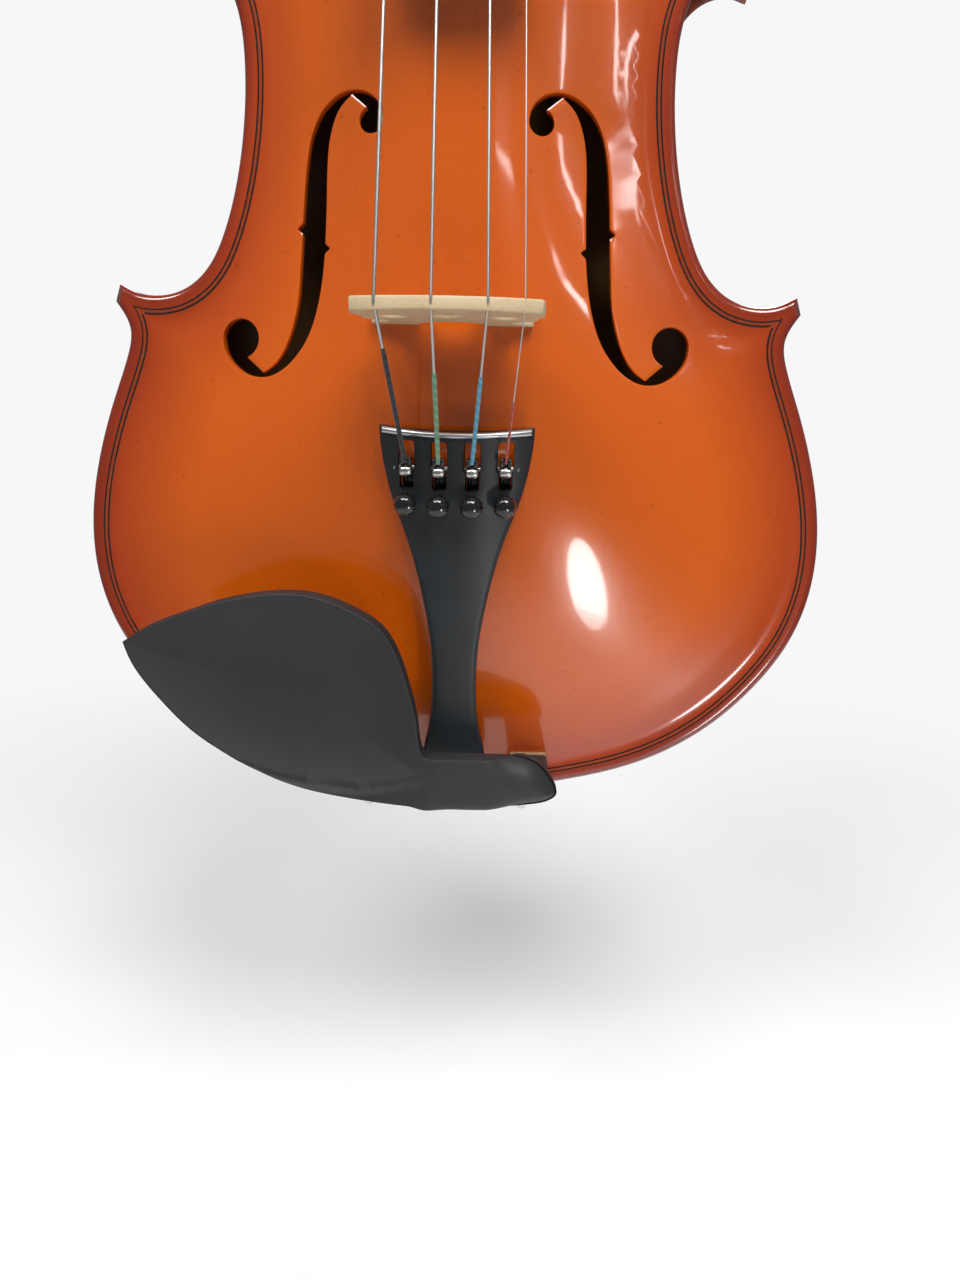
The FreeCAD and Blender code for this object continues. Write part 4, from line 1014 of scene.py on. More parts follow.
def softLoop(points, radius, step=0.3):
    # a polygon with its corners rounded
    p = np.asarray(points, float)
    pieces = []
    for before, here, after in zip(np.roll(p, 1, 0), p, np.roll(p, -1, 0)):
        one, two = before - here, after - here
        reach = min(radius, np.linalg.norm(one) * 0.45, np.linalg.norm(two) * 0.45)
        a = here + one / np.linalg.norm(one) * reach
        c = here + two / np.linalg.norm(two) * reach
        t = np.linspace(0, 1, 5)[:, None]
        pieces.append((1 - t) ** 2 * a + 2 * t * (1 - t) * here + t * t * c)
    loop = np.concatenate(pieces)
    closed = np.concatenate([loop, loop[:1]])
    return evenly(closed, max(12, int(lineLength(closed) / step)))[:-1]


def plateBetween(name, loop, half, rounding, place, material, cell=0.8, holes=()):
    # a flat piece cut to a loop, half thick on each side, edges rounded
    def level(a, b, d, dHole):
        return half - roundOff(np.minimum(d, dHole), rounding)
    rings = [rounding * f for f in (0.15, 0.4, 0.75, 1.1)]
    return boardPiece(name, loop, list(holes), rings, rings[:2], cell, level,
                      lambda *p: -level(*p), place, material)


for order, name in enumerate(stringSet):
    u = tunerU[order]
    drop = float(sag(u))
    loop = softLoop(leverArm, 0.45)
    prongs = []
    for side in (-1, 1):
        middle = u + side * fork["prongAt"]
        prongs.append(plateBetween(f"prong{name}{side}", loop, fork["prongHalf"], 0.22,
                                   lambda v, w, k: tailPlace(middle + k, v, w - drop), looks["knob"]))
    webLoop = softLoop([p for p in leverArm if p[1] < fork["webTop"]], 0.4)
    web = plateBetween(f"web{name}", webLoop, fork["webHalf"], 0.1,
                       lambda v, w, k: tailPlace(u + k, v, w - drop), looks["knob"])
    lever = joined(f"lever{name}", prongs + [web])
    finished(lever, f"tuner_fork_{name}", "tuner_gloss", f"tuner_lever_{name}")
    height = np.linspace(0, 1, 26)
    bulge = knob["radius"] * np.sqrt(np.clip(1 - (2 * height - 1) ** 2, 0, 1)) ** 0.75
    profile = np.stack([np.maximum(bulge, 0.04), knob["low"] + knob["height"] * height - 0.62], 1)
    profile = profile[profile[:, 1] > knob["low"] - 0.05]
    head = lathe(f"knob{name}", profile, lambda x, y, h: tailPlace(u + x, tail["screwV"] + y, h - drop),
                 looks["knob"], 128, lambda t, h: 1 + knob["depth"] * 0.5 * np.cos(t * knob["ribs"])
                 * np.clip(1 - np.abs(h - 4.2) / 2.4, 0, 1) ** 0.5)
    finished(head, f"tuner_knob_{name}", "tuner_gloss", f"tuner_head_{name}")
    h = np.linspace(screwRun["tip"], screwRun["top"], screwRun["count"])
    rod = lathe(f"screw{name}", np.stack([np.full(screwRun["count"], screwRun["radius"]), h], 1),
                lambda x, y, w: tailPlace(u + x, tail["screwV"] + y, w - drop), looks["steel"], 40,
                lambda t, w: 1 - screwRun["cut"] * (0.5 + 0.5 * np.cos(2 * np.pi * w / knob["thread"] - t)))
    finished(rod, f"tuner_screw_{name}", "tuner_steel", f"tuner_shank_{name}")
    turnBall = np.linspace(0, 2 * np.pi, 24, endpoint=False)
    ring = np.linspace(0, 2 * np.pi, 32, endpoint=False)
    reach = ballEnd["middle"] + ballEnd["tube"] * np.cos(turnBall)
    grid = tailPlace(u + ballEnd["half"] * np.sin(turnBall)[None, :] + 0 * ring[:, None],
                     ballEnd["v"] + reach[None, :] * np.cos(ring)[:, None],
                     ballEnd["w"] + reach[None, :] * np.sin(ring)[:, None] - drop)
    ball = gridPiece(f"ball{name}", grid, looks["steel"], wrapRows=True, wrapColumns=True, flip=True)
    finished(ball, f"tuner_fork_{name}", "string_metal", f"string_ball_{name}")
print("fine tuners")


# strings: straight between ball, crown, nut and peg, bending over a short arc at the crown and the nut

def boardHalf(along):
    slope = (neckShape["boardHalf"] - neckShape["nutHalf"]) / neckShape["boardLength"]
    return neckShape["nutHalf"] + (neckShape["nutAt"] - along) * slope


def boardTop(along):
    start, slope = neckShape["plane"]
    return start + slope * (along - body["length"])


pegSet = {"places": {"G": (15.5, -1), "D": (43.0, -1), "A": (56.0, 1), "E": (29.0, 1)},
          "winding": {"G": -4.6, "D": -2.6, "A": 2.6, "E": 4.6}, "coil": 5.0}


def pegAxis(along):
    return 1.0 + 7.5 * (along - 501.0) / 40.5


def stringRoute(name):
    x, radius = stringSet[name]
    order = list(stringSet).index(name)
    top = crown["y"] + float(sag(x, crown["radius"])) - radius * 0.2
    nutX = (order - 1.5) * 5.5
    nutY = boardTop(neckShape["nutAt"]) + float(sag(nutX, neckShape["boardRadius"])) - 0.55 - radius * 0.3
    distance, _ = pegSet["places"][name]
    along = neckShape["nutAt"] + distance
    wind = (pegSet["winding"][name], pegAxis(along) - pegSet["coil"] - radius - 0.1, along + footZ)
    slot = tailPlace(tunerU[order], 99.3, 2.2 - float(sag(tunerU[order])) + 0.99)
    return [np.asarray(p, float) for p in (slot, (x, top, crown["at"] + footZ),
                                           (nutX, nutY, neckShape["nutAt"] + 3 + footZ), wind)]


def roundedPath(points, reach, step):
    # straight runs joined by short curves
    path = [points[0][None, :]]
    for before, here, after in zip(points, points[1:], points[2:]):
        one = (before - here) / np.linalg.norm(before - here) * reach
        two = (after - here) / np.linalg.norm(after - here) * reach
        t = np.linspace(0, 1, 9)[:, None]
        path.append((1 - t) ** 2 * (here + one) + 2 * t * (1 - t) * here + t * t * (here + two))
    path.append(points[-1][None, :])
    line = np.concatenate(path)
    return evenly(line, max(4, int(lineLength(line) / step)))


silk = {
    "G": {"thread": ((0.010, 0.010, 0.012), (0.055, 0.060, 0.075)), "share": 0.74, "swell": 1.42},
    "D": {"thread": ((0.10, 0.28, 0.13), (0.28, 0.52, 0.34)), "share": 0.60, "swell": 1.45},
    "A": {"thread": ((0.05, 0.30, 0.44), (0.20, 0.56, 0.70)), "share": 0.58, "swell": 1.5},
    "E": {"thread": ((0.42, 0.045, 0.035), (0.64, 0.16, 0.13)), "share": 0.42, "swell": 1.9},
}
windings = {"G": ((0.56, 0.55, 0.53), 0.34), "D": ((0.60, 0.59, 0.56), 0.30), "A": ((0.62, 0.60, 0.55), 0.26),
            "E": ((0.70, 0.69, 0.66), 0.20)}


def pathPart(path, start, end):
    # the stretch between two lengths along a path
    t = np.r_[0, np.cumsum(np.linalg.norm(np.diff(path, axis=0), axis=1))]
    s = np.linspace(start, end, max(6, int((end - start) / 0.9)))
    return np.stack([np.interp(s, t, column) for column in path.T], 1)


def silkPiece(name, part, radius, swell, tag):
    steps = np.linspace(0, 1, len(part))
    width = radius * swell * (1 - 0.22 * easeIn((steps - 0.93) / 0.07))
    return tube(f"silk{name}{tag}", part, width, looks[f"silk{name}"], 16, uvTurn=1.0)


for order, name in enumerate(stringSet):
    radius = stringSet[name][1]
    colour, every = windings[name]
    looks[f"string{name}"] = woundString(f"{name} string winding", colour, every)
    looks[f"silk{name}"] = silkThread(f"{name} string silk", *silk[name]["thread"])
    route = stringRoute(name)
    path = roundedPath(route, 1.6, 0.8)
    after = float(np.linalg.norm(route[1] - route[0]))
    playing = after + float(np.linalg.norm(route[2] - route[1]))
    whole = lineLength(path)
    wire = tube(f"string{name}", path, radius, looks[f"string{name}"], 12, uvTurn=1.0)
    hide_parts(f"string_{name}")
    tailPart = pathPart(path, 0.2, after * silk[name]["share"])
    tailSilk = silkPiece(name, tailPart, radius, silk[name]["swell"], "Tail")
    pegSilk = silkPiece(name, pathPart(path, playing + 6, whole - 0.3)[::-1], radius, 1.25, "Peg")
    finished(pegSilk, "violin", "string_metal")
    for piece in (wire, tailSilk):
        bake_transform(piece)
    # turns round the peg
    distance, side = pegSet["places"][name]
    along = neckShape["nutAt"] + distance
    centreX = pegSet["winding"][name]
    turns = 4.4 / (radius * 2 * 1.25 + 0.12)
    coil = max(radius * 1.2, 0.34)
    angle = np.linspace(0, 2 * np.pi * turns, int(turns * 30))
    ring = pegSet["coil"] - coil
    shift = -2.2 + coil + (4.4 - 2 * coil) * angle / angle[-1]
    helix = np.stack([centreX + side * shift * -1, pegAxis(along) - ring * np.cos(angle),
                      along + footZ + ring * np.sin(angle)], 1)
    inside = lathe(f"coilCore{name}", [(3.0, -2.15), (ring, -2.1), (ring, 2.1), (3.0, 2.15)],
                   lambda x, y, h: np.stack([centreX + h, pegAxis(along) + x, along + footZ + y], -1),
                   looks[f"silk{name}"], 32)
    wound = tube(f"coil{name}", helix, coil, looks[f"silk{name}"], 12, uvTurn=1.0)
    finished(inside, f"tuning_peg_{name}", "string_metal")
    finished(wound, f"tuning_peg_{name}", "string_metal", f"string_winding_{name}")
print("strings")


# fingerboard: arched top, thin edges, hollowed under its free end

fingerboard = {"rows": 150, "edge": 5.0, "scoop": 3.6, "soft": 0.5}


def boardSection(along, count=34):
    half = boardHalf(along)
    soft = fingerboard["soft"]
    top = boardTop(along)
    x = np.linspace(-half + soft, half - soft, count)
    upper = np.stack([x, top + sag(x, neckShape["boardRadius"])], 1)
    shoulder = top + float(sag(half, neckShape["boardRadius"]))
    low = shoulder + fingerboard["edge"]
    turn = np.radians(np.linspace(-80, -5, 5))
    corner = np.stack([half - soft + soft * np.cos(turn), shoulder + soft * 0.75 + soft * np.sin(turn)], 1)
    foot = np.stack([half - soft * 0.6 + soft * 0.6 * np.cos(-turn[::-1]),
                     low - soft * 0.6 + soft * 0.6 * np.sin(-turn[::-1])], 1)
    inner = half - 3.2
    xs = np.linspace(inner, -inner, count)
    hollow = fingerboard["scoop"] * (1 - float(easeIn(np.array((along - 325) / 16))))
    under = np.stack([xs, low - hollow * np.sqrt(np.clip(1 - (xs / inner) ** 2, 0, 1))], 1)
    mirror = np.array([-1, 1])
    return np.concatenate([upper, corner, foot, under, foot[::-1] * mirror, corner[::-1] * mirror])


boardAt = np.linspace(neckShape["nutAt"] - neckShape["boardLength"], neckShape["nutAt"], fingerboard["rows"])
endSoft = 0.4
sections = np.stack([boardSection(along) for along in boardAt])
boardGrid = np.stack([sections[..., 0], sections[..., 1],
                      np.broadcast_to(boardAt[:, None] + footZ, sections.shape[:2])], -1)
# the free end is eased by pulling one more row in
first = boardGrid[:1].copy()
middle = first.mean(1, keepdims=True)
first = middle + (first - middle) * np.array([0.985, 0.94, 1.0])
boardGrid[:1, :, 2] += endSoft
boardGrid = np.concatenate([first, boardGrid])
board = gridPiece("fingerboard", boardGrid, looks["ebony"], wrapColumns=True, caps=True, sharp=32)
finished(board, "violin", "ebony", "fingerboard")


# neck: a rounded half section that grows into the heel

neckRun = {
    "profile": [(347, 20), (357, 20), (365, 17), (372, 6), (379, -2.5), (391, -7.6), (420, -5.6),
                (455, -1), (486.5, 3.4)],
    "side": [(1, 0), (0.985, 0.3), (0.83, 0.68), (0.5, 0.93), (0, 1)],
}


def boardUnder(along):
    half = boardHalf(along)
    return boardTop(along) + sag(half, neckShape["boardRadius"]) + neckShape["boardEdge"]


def neckGrid(rows=160, count=26):
    line = smoothLine(neckRun["profile"], 900)
    along = np.linspace(349, 486.2, rows)
    back = np.interp(along, line[:, 0], line[:, 1])
    shape = smoothLine(neckRun["side"] + [(-u, w) for u, w in neckRun["side"][-2::-1]], count * 2)
    grid = np.empty((rows, count * 2, 3))
    front = boardUnder(along)
    grid[..., 0] = boardHalf(along)[:, None] * shape[None, :, 0]
    grid[..., 1] = front[:, None] + (back - front)[:, None] * np.clip(shape[None, :, 1], 0, 1)
    grid[..., 2] = (along + footZ)[:, None]
    heel = along < 380
    grid[heel, :, 1] = np.minimum(grid[heel, :, 1], body["ribDepth"] / 2)
    return grid


neck = gridPiece("neck", neckGrid(), looks["neck"], wrapColumns=True, caps=True, flip=True)
finished(neck, "violin", "neck_maple", "neck_and_scroll")


# pegbox: two cheeks and a floor in one U-shaped section, closed at both ends

head = {
    "front": [(484.8, -9.4), (512, -4.4), (538, 1.5), (549, 4.2), (561, 6.0)],
    "back": [(484.8, 3.4), (491, 6.8), (503, 13.5), (522, 18.3), (545, 20), (562, 19.3)],
    "wall": 3.3, "floor": 4.8, "round": 1.1,
    "centre": (-2.0, 571.0), "radius": 21.0, "shrink": 0.101, "turns": 2.55, "flute": 1.0,
}


def headHalf(along):
    return 12.0 - 1.8 * (along - 485.5) / 104.5


def pegboxGrid(rows=110):
    frontLine = smoothLine(head["front"], 400)
    backLine = smoothLine(head["back"], 400)
    along = np.linspace(484.9, 560.5, rows)
    yFront = np.interp(along, frontLine[:, 0], frontLine[:, 1])
    yBack = np.interp(along, backLine[:, 0], backLine[:, 1])
    half = headHalf(along)
    deep = easeIn((along - 492.5) / 9) * (1 - easeIn((along - 545) / 9))
    floor = yFront + (yBack - head["floor"] - yFront) * deep
    inner = half - head["wall"]
    r = head["round"]
    grid = []
    for hf, yf, yb, fl, inn in zip(half, yFront, yBack, floor, inner):
        turn = np.radians(np.linspace(0, 90, 7))
        outerFront = np.stack([hf - 0.8 + 0.8 * np.cos(turn[::-1]), yf + 0.8 - 0.8 * np.sin(turn[::-1])], 1)
        outerBack = np.stack([hf - r + r * np.cos(turn), yb - r + r * np.sin(turn)], 1)
        middle = np.stack([np.linspace(hf - r, 0, 8)[1:], np.full(7, yb)], 1)
        rightOut = np.concatenate([outerFront, outerBack, middle])
        innerFront = np.array([(inn + 0.5, yf), (inn + 0.12, yf + 0.15), (inn, yf + 0.5)])
        innerFloor = np.array([(inn, max(fl - 1.0, yf + 0.52)), (inn - 0.4, max(fl - 0.3, yf + 0.53)),
                               (inn - 1.2, max(fl, yf + 0.54)), (0, max(fl, yf + 0.54))])
        rightIn = np.concatenate([innerFront, innerFloor])
        mirror = np.array([-1, 1])
        loop = np.concatenate([rightOut, rightOut[-2::-1] * mirror, rightIn[:-1] * mirror, rightIn[::-1]])
        grid.append(loop)
    flat = np.stack(grid)
    return np.stack([flat[..., 0], flat[..., 1], np.broadcast_to(along[:, None] + footZ, flat.shape[:2])], -1)


pegbox = gridPiece("pegbox", pegboxGrid(), looks["headMaple"], wrapColumns=True, caps=True, flip=True)
finished(pegbox, "violin", "neck_maple", "neck_and_scroll")


# scroll: radius 21 e^(-0.101 t) over 2.55 turns; its half width is 9.8 at the back, 6.4 over the top,
# then grows to the eye. Each side steps from one turn's edge down to the root of the next turn.

def scrollRadius(t):
    return head["radius"] * np.exp(-head["shrink"] * np.maximum(t, 0))


def scrollHalf(t):
    total = 2 * np.pi * head["turns"]
    narrow = 9.9 + (6.3 - 9.9) * easeIn((t + 0.6) / 2.7)
    return narrow + (20.4 - 6.3) * np.clip((t - 1.9) / (total - 1.9), 0, 1) ** 1.12


def scrollPoint(t, radius, x):
    y = head["centre"][0] + radius * np.cos(t)
    z = head["centre"][1] + footZ + radius * np.sin(t)
    return np.stack(np.broadcast_arrays(x, y, z), -1)


def scrollSide(side, rows=560):
    total = 2 * np.pi * head["turns"]
    t = np.linspace(-0.75, total, rows)
    here, wide = scrollRadius(t), scrollHalf(t)
    last = t > total - 2 * np.pi
    nextR = np.where(last, 0.02, scrollRadius(t + 2 * np.pi))
    nextH = np.where(last, wide, scrollHalf(np.minimum(t + 2 * np.pi, total)))
    span = here - nextR
    columns = [(here, wide - 0.75), (here - 0.22, wide - 0.22), (here - 0.8, wide)]
    for share, dip in ((0.30, 0.25), (0.5, 0.55), (0.68, 0.75), (0.84, 0.70), (0.94, 0.45)):
        columns.append((here - np.maximum(span * share, 0.85), wide - dip * np.where(last, 0.4, 1)))
    columns.append((nextR + 0.05, np.where(last, wide - 0.05, wide - 0.1)))
    columns.append((nextR, np.where(last, wide, wide * 0.5 + nextH * 0.5)))
    columns.append((nextR, np.where(last, wide, nextH - 0.75)))
    return np.stack([scrollPoint(t, r, side * w) for r, w in columns], 1)


def scrollBack(rows=300, columns=33):
    # the outside of the first turns, with two flutes and a spine between them
    t = np.linspace(-0.75, 2 * np.pi, rows)
    u = np.linspace(-1, 1, columns)
    flute = head["flute"] * np.sin(np.pi * np.abs(u)) ** 1.5
    fade = np.clip((t + 0.75) / 0.7, 0, 1)[:, None]
    return scrollPoint(t[:, None], scrollRadius(t)[:, None] - flute[None, :] * fade,
                       u[None, :] * (scrollHalf(t) - 0.75)[:, None])


right = gridPiece("scrollRight", scrollSide(1), looks["headMaple"], flip=False, sharp=40)
left = gridPiece("scrollLeft", scrollSide(-1), looks["headMaple"], flip=True, sharp=40)
rim = gridPiece("scrollRim", scrollBack(), looks["headMaple"], flip=False, sharp=40)
scroll = joined("scroll", [right, left, rim])
finished(scroll, "violin", "neck_maple", "neck_and_scroll")
print("neck, pegbox and scroll")


# pegs: taper, ringed collar, flat heart-shaped thumb piece hollowed on both faces

thumb = [(0, 2.4), (3, 4.0), (8, 6.9), (14, 7.3), (18.5, 4.6), (19.6, 0)]


for name, (distance, side) in pegSet["places"].items():
    along = neckShape["nutAt"] + distance
    y, z = pegAxis(along), along + footZ
    profile = [(0.05, -24.6), (3.1, -24.6), (3.2, -24.4), (4.1, 0), (4.6, 0.4), (5.6, 0.4), (5.8, 0.8),
               (5.7, 1.5), (5.1, 1.8), (5.0, 2.2), (5.3, 2.6), (5.0, 3.2), (4.2, 3.7), (3.3, 4.4), (3.0, 5.6),
               (2.8, 8), (0.05, 8.2)]
    shaft = lathe(f"pegShaft{name}", profile,
                  lambda a, b, h: np.stack([side * (12.6 + h), y + a, z + b * side], -1), looks["ebony"], 48)
    heartTop = byStep(thumb, 0.6)
    loop = joinLoop(heartTop, heartTop[::-1] * np.array([1, -1]), evenly([(0, -2.4), (0, 2.4)], 8))
    blade = boardPiece(f"pegThumb{name}", loop[::-1], [], [0.15, 0.45, 0.9, 1.5, 2.2], [], 0.9,
                       lambda a, b, d, k: 2.75 - roundOff(d, 1.9) * 1.05 - 0.9 * easeIn((d - 1.6) / 3.6),
                       lambda a, b, d, k: -(2.75 - roundOff(d, 1.9) * 1.05 - 0.9 * easeIn((d - 1.6) / 3.6)),
                       lambda a, b, w: np.stack([side * (16.1 + a), y + w, z + b * side], -1), looks["ebony"])
    pip = lathe(f"pegPip{name}", [(0.03, -1.2), (1.2, -1.0), (1.3, 0.0), (1.25, 0.9), (0.8, 1.45), (0.03, 1.6)],
                lambda a, b, h: np.stack([side * (34.0 + h), y + a, z + b * side], -1), looks["ebony"], 24)
    for piece in (shaft, blade, pip):
        finished(piece, f"tuning_peg_{name}", "ebony", f"peg_{name}")
print("pegs")


# nut, saddle, end button and tail cord

def barPiece(name, profile, x0, x1, soft, material, count=24):
    # a closed (y, z) profile carried along x, its ends pulled in for an eased edge
    profile = np.asarray(profile, float)
    middle = profile.mean(0)
    size = np.abs(profile - middle).max(0)
    turn = np.linspace(0, np.pi / 2, 5)
    steps = np.r_[x0 + soft * (1 - np.cos(turn)), np.linspace(x0 + soft, x1 - soft, count)[1:-1],
                  x1 - soft * (1 - np.cos(turn[::-1]))]
    pull = np.r_[soft * (1 - np.sin(turn)), np.zeros(count - 2), soft * (1 - np.sin(turn[::-1]))]
    shrink = 1 - pull[:, None] / size[None, :]
    grid = np.empty((len(steps), len(profile), 3))
    grid[..., 0] = steps[:, None]
    grid[..., 1] = middle[0] + (profile[:, 0] - middle[0])[None, :] * shrink[:, :1]
    grid[..., 2] = middle[1] + (profile[:, 1] - middle[1])[None, :] * shrink[:, 1:]
    return gridPiece(name, grid, material, wrapColumns=True, caps=True, sharp=40)


def facingOut(piece):
    # turns a closed mesh right side out when its signed volume is negative
    mesh = piece.data
    mesh.calc_loop_triangles()
    co = np.empty(len(mesh.vertices) * 3)
    mesh.vertices.foreach_get("co", co)
    tri = np.empty(len(mesh.loop_triangles) * 3, int)
    mesh.loop_triangles.foreach_get("vertices", tri)
    a, b, c = co.reshape(-1, 3)[tri.reshape(-1, 3)].transpose(1, 0, 2)
    if float((a * np.cross(b, c)).sum()) < 0:
        mesh.flip_normals()
    return piece


nutAt = neckShape["nutAt"]
nutLow = float(boardUnder(nutAt))
nutTop = float(boardTop(nutAt)) - 0.7
nutGrid = []
for x in np.linspace(-11.9, 11.9, 90):
    notch = sum(0.35 * math.exp(-((x - (k - 1.5) * 5.5) / 0.32) ** 2) for k in range(4))
    level = nutTop + float(sag(x, 42.0)) + notch
    edge = 0.35 * max(0.0, (abs(x) - 11.4) / 0.5) ** 2
    nutGrid.append([(x, level + edge + r, nutAt + footZ + k) for k, r in
                    ((0.02, 0.5), (0.3, 0.15), (1.0, 0.0), (2.5, 0.0), (4.2, 0.35), (5.4, 1.1), (5.9, 2.2))]
                   + [(x, nutLow, nutAt + footZ + 5.95), (x, nutLow, nutAt + footZ + 0.02)])
nut = facingOut(gridPiece("nut", np.array(nutGrid), looks["ebony"], wrapColumns=True, caps=True, sharp=50))
finished(nut, "violin", "ebony", "nut")

saddleProfile = softLoop([(-15.05, 6.5), (-23.0, 6.5), (-23.0, 12.7), (-19.2, 12.7), (-15.05, 12.7)], 1.9, 0.35)
saddle = facingOut(barPiece("saddle", saddleProfile, -17.0, 17.0, 0.7, looks["ebony"]))
finished(saddle, "violin", "ebony", "saddle")

button = {"profile": [(0.05, -4.34), (1.6, -4.28), (3.2, -4.08), (4.8, -3.74), (6.0, -3.35), (6.75, -2.85),
                      (7.1, -2.2), (7.25, -1.2), (7.25, 0.4), (7.2, 0.8), (6.95, 1.0), (7.2, 1.3), (7.1, 2.3),
                      (6.6, 2.85), (5.6, 3.05), (5.05, 3.5), (4.95, 5.0), (5.0, 7.6), (5.0, 8.4), (5.0, 8.95),
                      (4.0, 9.05), (3.4, 29.5), (0.05, 29.9)]}
endButton = lathe("endButton", smoothLine(button["profile"][:15], 90).tolist() + button["profile"][15:],
                  lambda x, y, h: np.stack([x, y, h], -1), looks["ebony"], 72)
facingOut(endButton)
finished(endButton, "violin", "ebony", "end_button")


def cordPath():
    side = 5.0 + 0.9 + 0.1
    low, over = 9.0 - 3.9, -body["ribDepth"] / 2 - body["edge"] - 4.0 - 0.95
    start = np.array([4.2, -29.0, 17.0 + footZ])
    right = [start + np.array([tail["x"] * 0.9, 0, 0]), np.array([side, over, 3.6 + footZ])]
    left = [np.array([-4.2 + tail["x"] * 0.9, -29.0, 17.0 + footZ]), np.array([-side, over, 3.6 + footZ])]
    bend = np.radians(np.linspace(0, 90, 10))
    corner = np.stack([np.full(10, side), over + 2.8 - 2.8 * np.cos(bend), low + 2.8 - 2.8 * np.sin(bend)], 1)
    loop = np.radians(np.linspace(0, 180, 40))
    round0 = np.stack([side * np.cos(loop), side * np.sin(loop), np.full(40, low)], 1)
    mirror = np.array([-1, 1, 1])
    line = np.concatenate([np.array(right), corner, round0, corner[::-1] * mirror, np.array(left[::-1])])
    return evenly(line, 260)


cord = facingOut(tube("tailCord", cordPath(), 0.9, looks["gut"], 16))
finished(cord, "violin", "gut_cord", "tail_gut")
print("nut, saddle, button, cord")


# chin rest: a dished plate with a crisp rim, a humped bar over the cord, two feet on cork

rest = {
    "upper": [(-3.6, 22.3), (-5.2, 22.8), (-6.2, 24.5), (-7.1, 30.6), (-8.2, 36.7), (-9.5, 41.6), (-11.1, 47.0),
              (-13.3, 52.4), (-16.8, 57.6), (-22.0, 61.2), (-27.1, 63.7), (-32.2, 65.4), (-37.3, 66.3),
              (-42.5, 66.4), (-47.6, 66.0), (-52.8, 65.1), (-58.1, 63.9), (-63.3, 62.2), (-68.6, 60.2),
              (-73.9, 58.2), (-79.3, 55.7), (-84.3, 52.5)],
    "lower": [(-84.3, 52.5), (-82.8, 48.0), (-79.8, 42.7), (-75.2, 36.8), (-70.2, 31.2), (-65.1, 26.7),
              (-59.9, 23.1), (-54.6, 19.8), (-49.3, 16.9), (-44.0, 14.2), (-39.0, 12.1), (-31.2, 10.2),
              (-23.0, 8.9), (-12.0, 7.6), (-1.0, 6.9), (10.0, 6.8), (18.3, 7.2), (24.5, 8.0), (28.8, 9.2),
              (30.9, 11.2), (30.2, 14.0), (28.4, 17.0), (26.0, 19.6), (22.8, 21.4), (17.9, 22.2)],
    "lip": [(-54.6, 20.7), (-49.3, 18.6), (-43.9, 16.7), (-38.6, 15.7), (-33.2, 15.0), (-27.8, 14.4),
            (-22.4, 14.2), (-17.0, 14.7), (-11.6, 15.7), (-6.2, 17.3), (-2.2, 19.5), (-0.9, 21.2)],
    "top": -50.0, "thick": 8.0, "bowl": 4.6, "bowlRun": 25.0, "rimFlat": 0.5,
}
restUpper, restLower = (smoothLine(rest[key], 900) for key in ("upper", "lower"))
restLoop = joinLoop(evenly(restUpper, 190), evenly(restLower, 230)[1:],
                    evenly([restLower[-1], restUpper[0]], 30)[1:-1])
insideLine = restLoop + (inwardOf(restLoop) if area(restLoop) > 0 else -inwardOf(restLoop)) * rest["rimFlat"]
lipLine = byStep(rest["lip"], 1.0)
endOfBowl = int(np.argmin(np.linalg.norm(insideLine - lipLine[0], axis=1)))
bowlLoop = np.concatenate([insideLine[:endOfBowl], lipLine])


def restTop(x, along, d, dHole):
    points = np.stack([x, along], 1)
    inBowl = insideOf(points, bowlLoop)
    deep = distanceTo(points, bowlLoop)
    dish = rest["bowl"] * (1 - (1 - np.clip(deep / rest["bowlRun"], 0, 1)) ** 2.4)
    right = easeIn((x + 9) / 12)
    far = easeIn((x - 11) / 11)
    foot = easeIn((18 - along) / 5) * right
    edge = roundOff(d, 0.4) * (1 - np.maximum(far, foot))
    hump = roundOff(d, 7.6) * far + roundOff(d, 4.2) * 0.8 * foot * (1 - far)
    skirt = 2.6 * easeIn(deep / 4.5) * easeIn((-x - 4) / 6) * easeIn((30 - along) / 8)
    slope = 0.05 * np.maximum(x + 10, 0) * right
    return rest["thick"] - np.where(inBowl, dish, skirt) - edge - hump - slope * 0.5


def restUnder(x, along, d, dHole):
    return roundOff(d, 2.2)


def restPlace(x, along, w):
    return np.stack(np.broadcast_arrays(x, rest["top"] + rest["thick"] - w, along + footZ), -1)


chinRest = boardPiece("chinRest", restLoop, [], [0.12, 0.3, 0.5, 0.8, 1.3, 2.0, 2.9, 4.0, 5.6], [], 1.25,
                      restTop, restUnder, restPlace, looks["rest"], sharp=35)
finished(chinRest, "violin", "chin_rest_black", "chin_rest")
print("chin rest:", len(chinRest.data.polygons), "faces")

restFeet = [(-33.0, -18.0), (18.0, 29.0)]
frontFace = -body["ribDepth"] / 2 - body["edge"]
for k, (x0, x1) in enumerate(restFeet):
    low = frontFace - 2.2
    leg = softLoop([(-42.1, 15.4), (-42.1, 20.4), (low, 20.2), (low, 10.9), (low - 4.4, 11.2),
                    (low - 6.0, 14.9)], 1.1, 0.4)
    foot = facingOut(barPiece(f"restFoot{k}", leg, x0, x1, 1.0, looks["rest"]))
    finished(foot, "violin", "chin_rest_black")
    pad = softLoop([(low + 0.02, 10.95), (low + 0.02, 20.2), (frontFace + 0.55, 20.2),
                    (frontFace + 0.25, 15.0), (frontFace + 0.3, 10.95)], 0.2, 0.3)
    corkPad = facingOut(barPiece(f"restCork{k}", pad, x0 + 0.1, x1 - 0.1, 0.25, looks["cork"]))
    finished(corkPad, "violin", "cork", "chin_rest_cork")
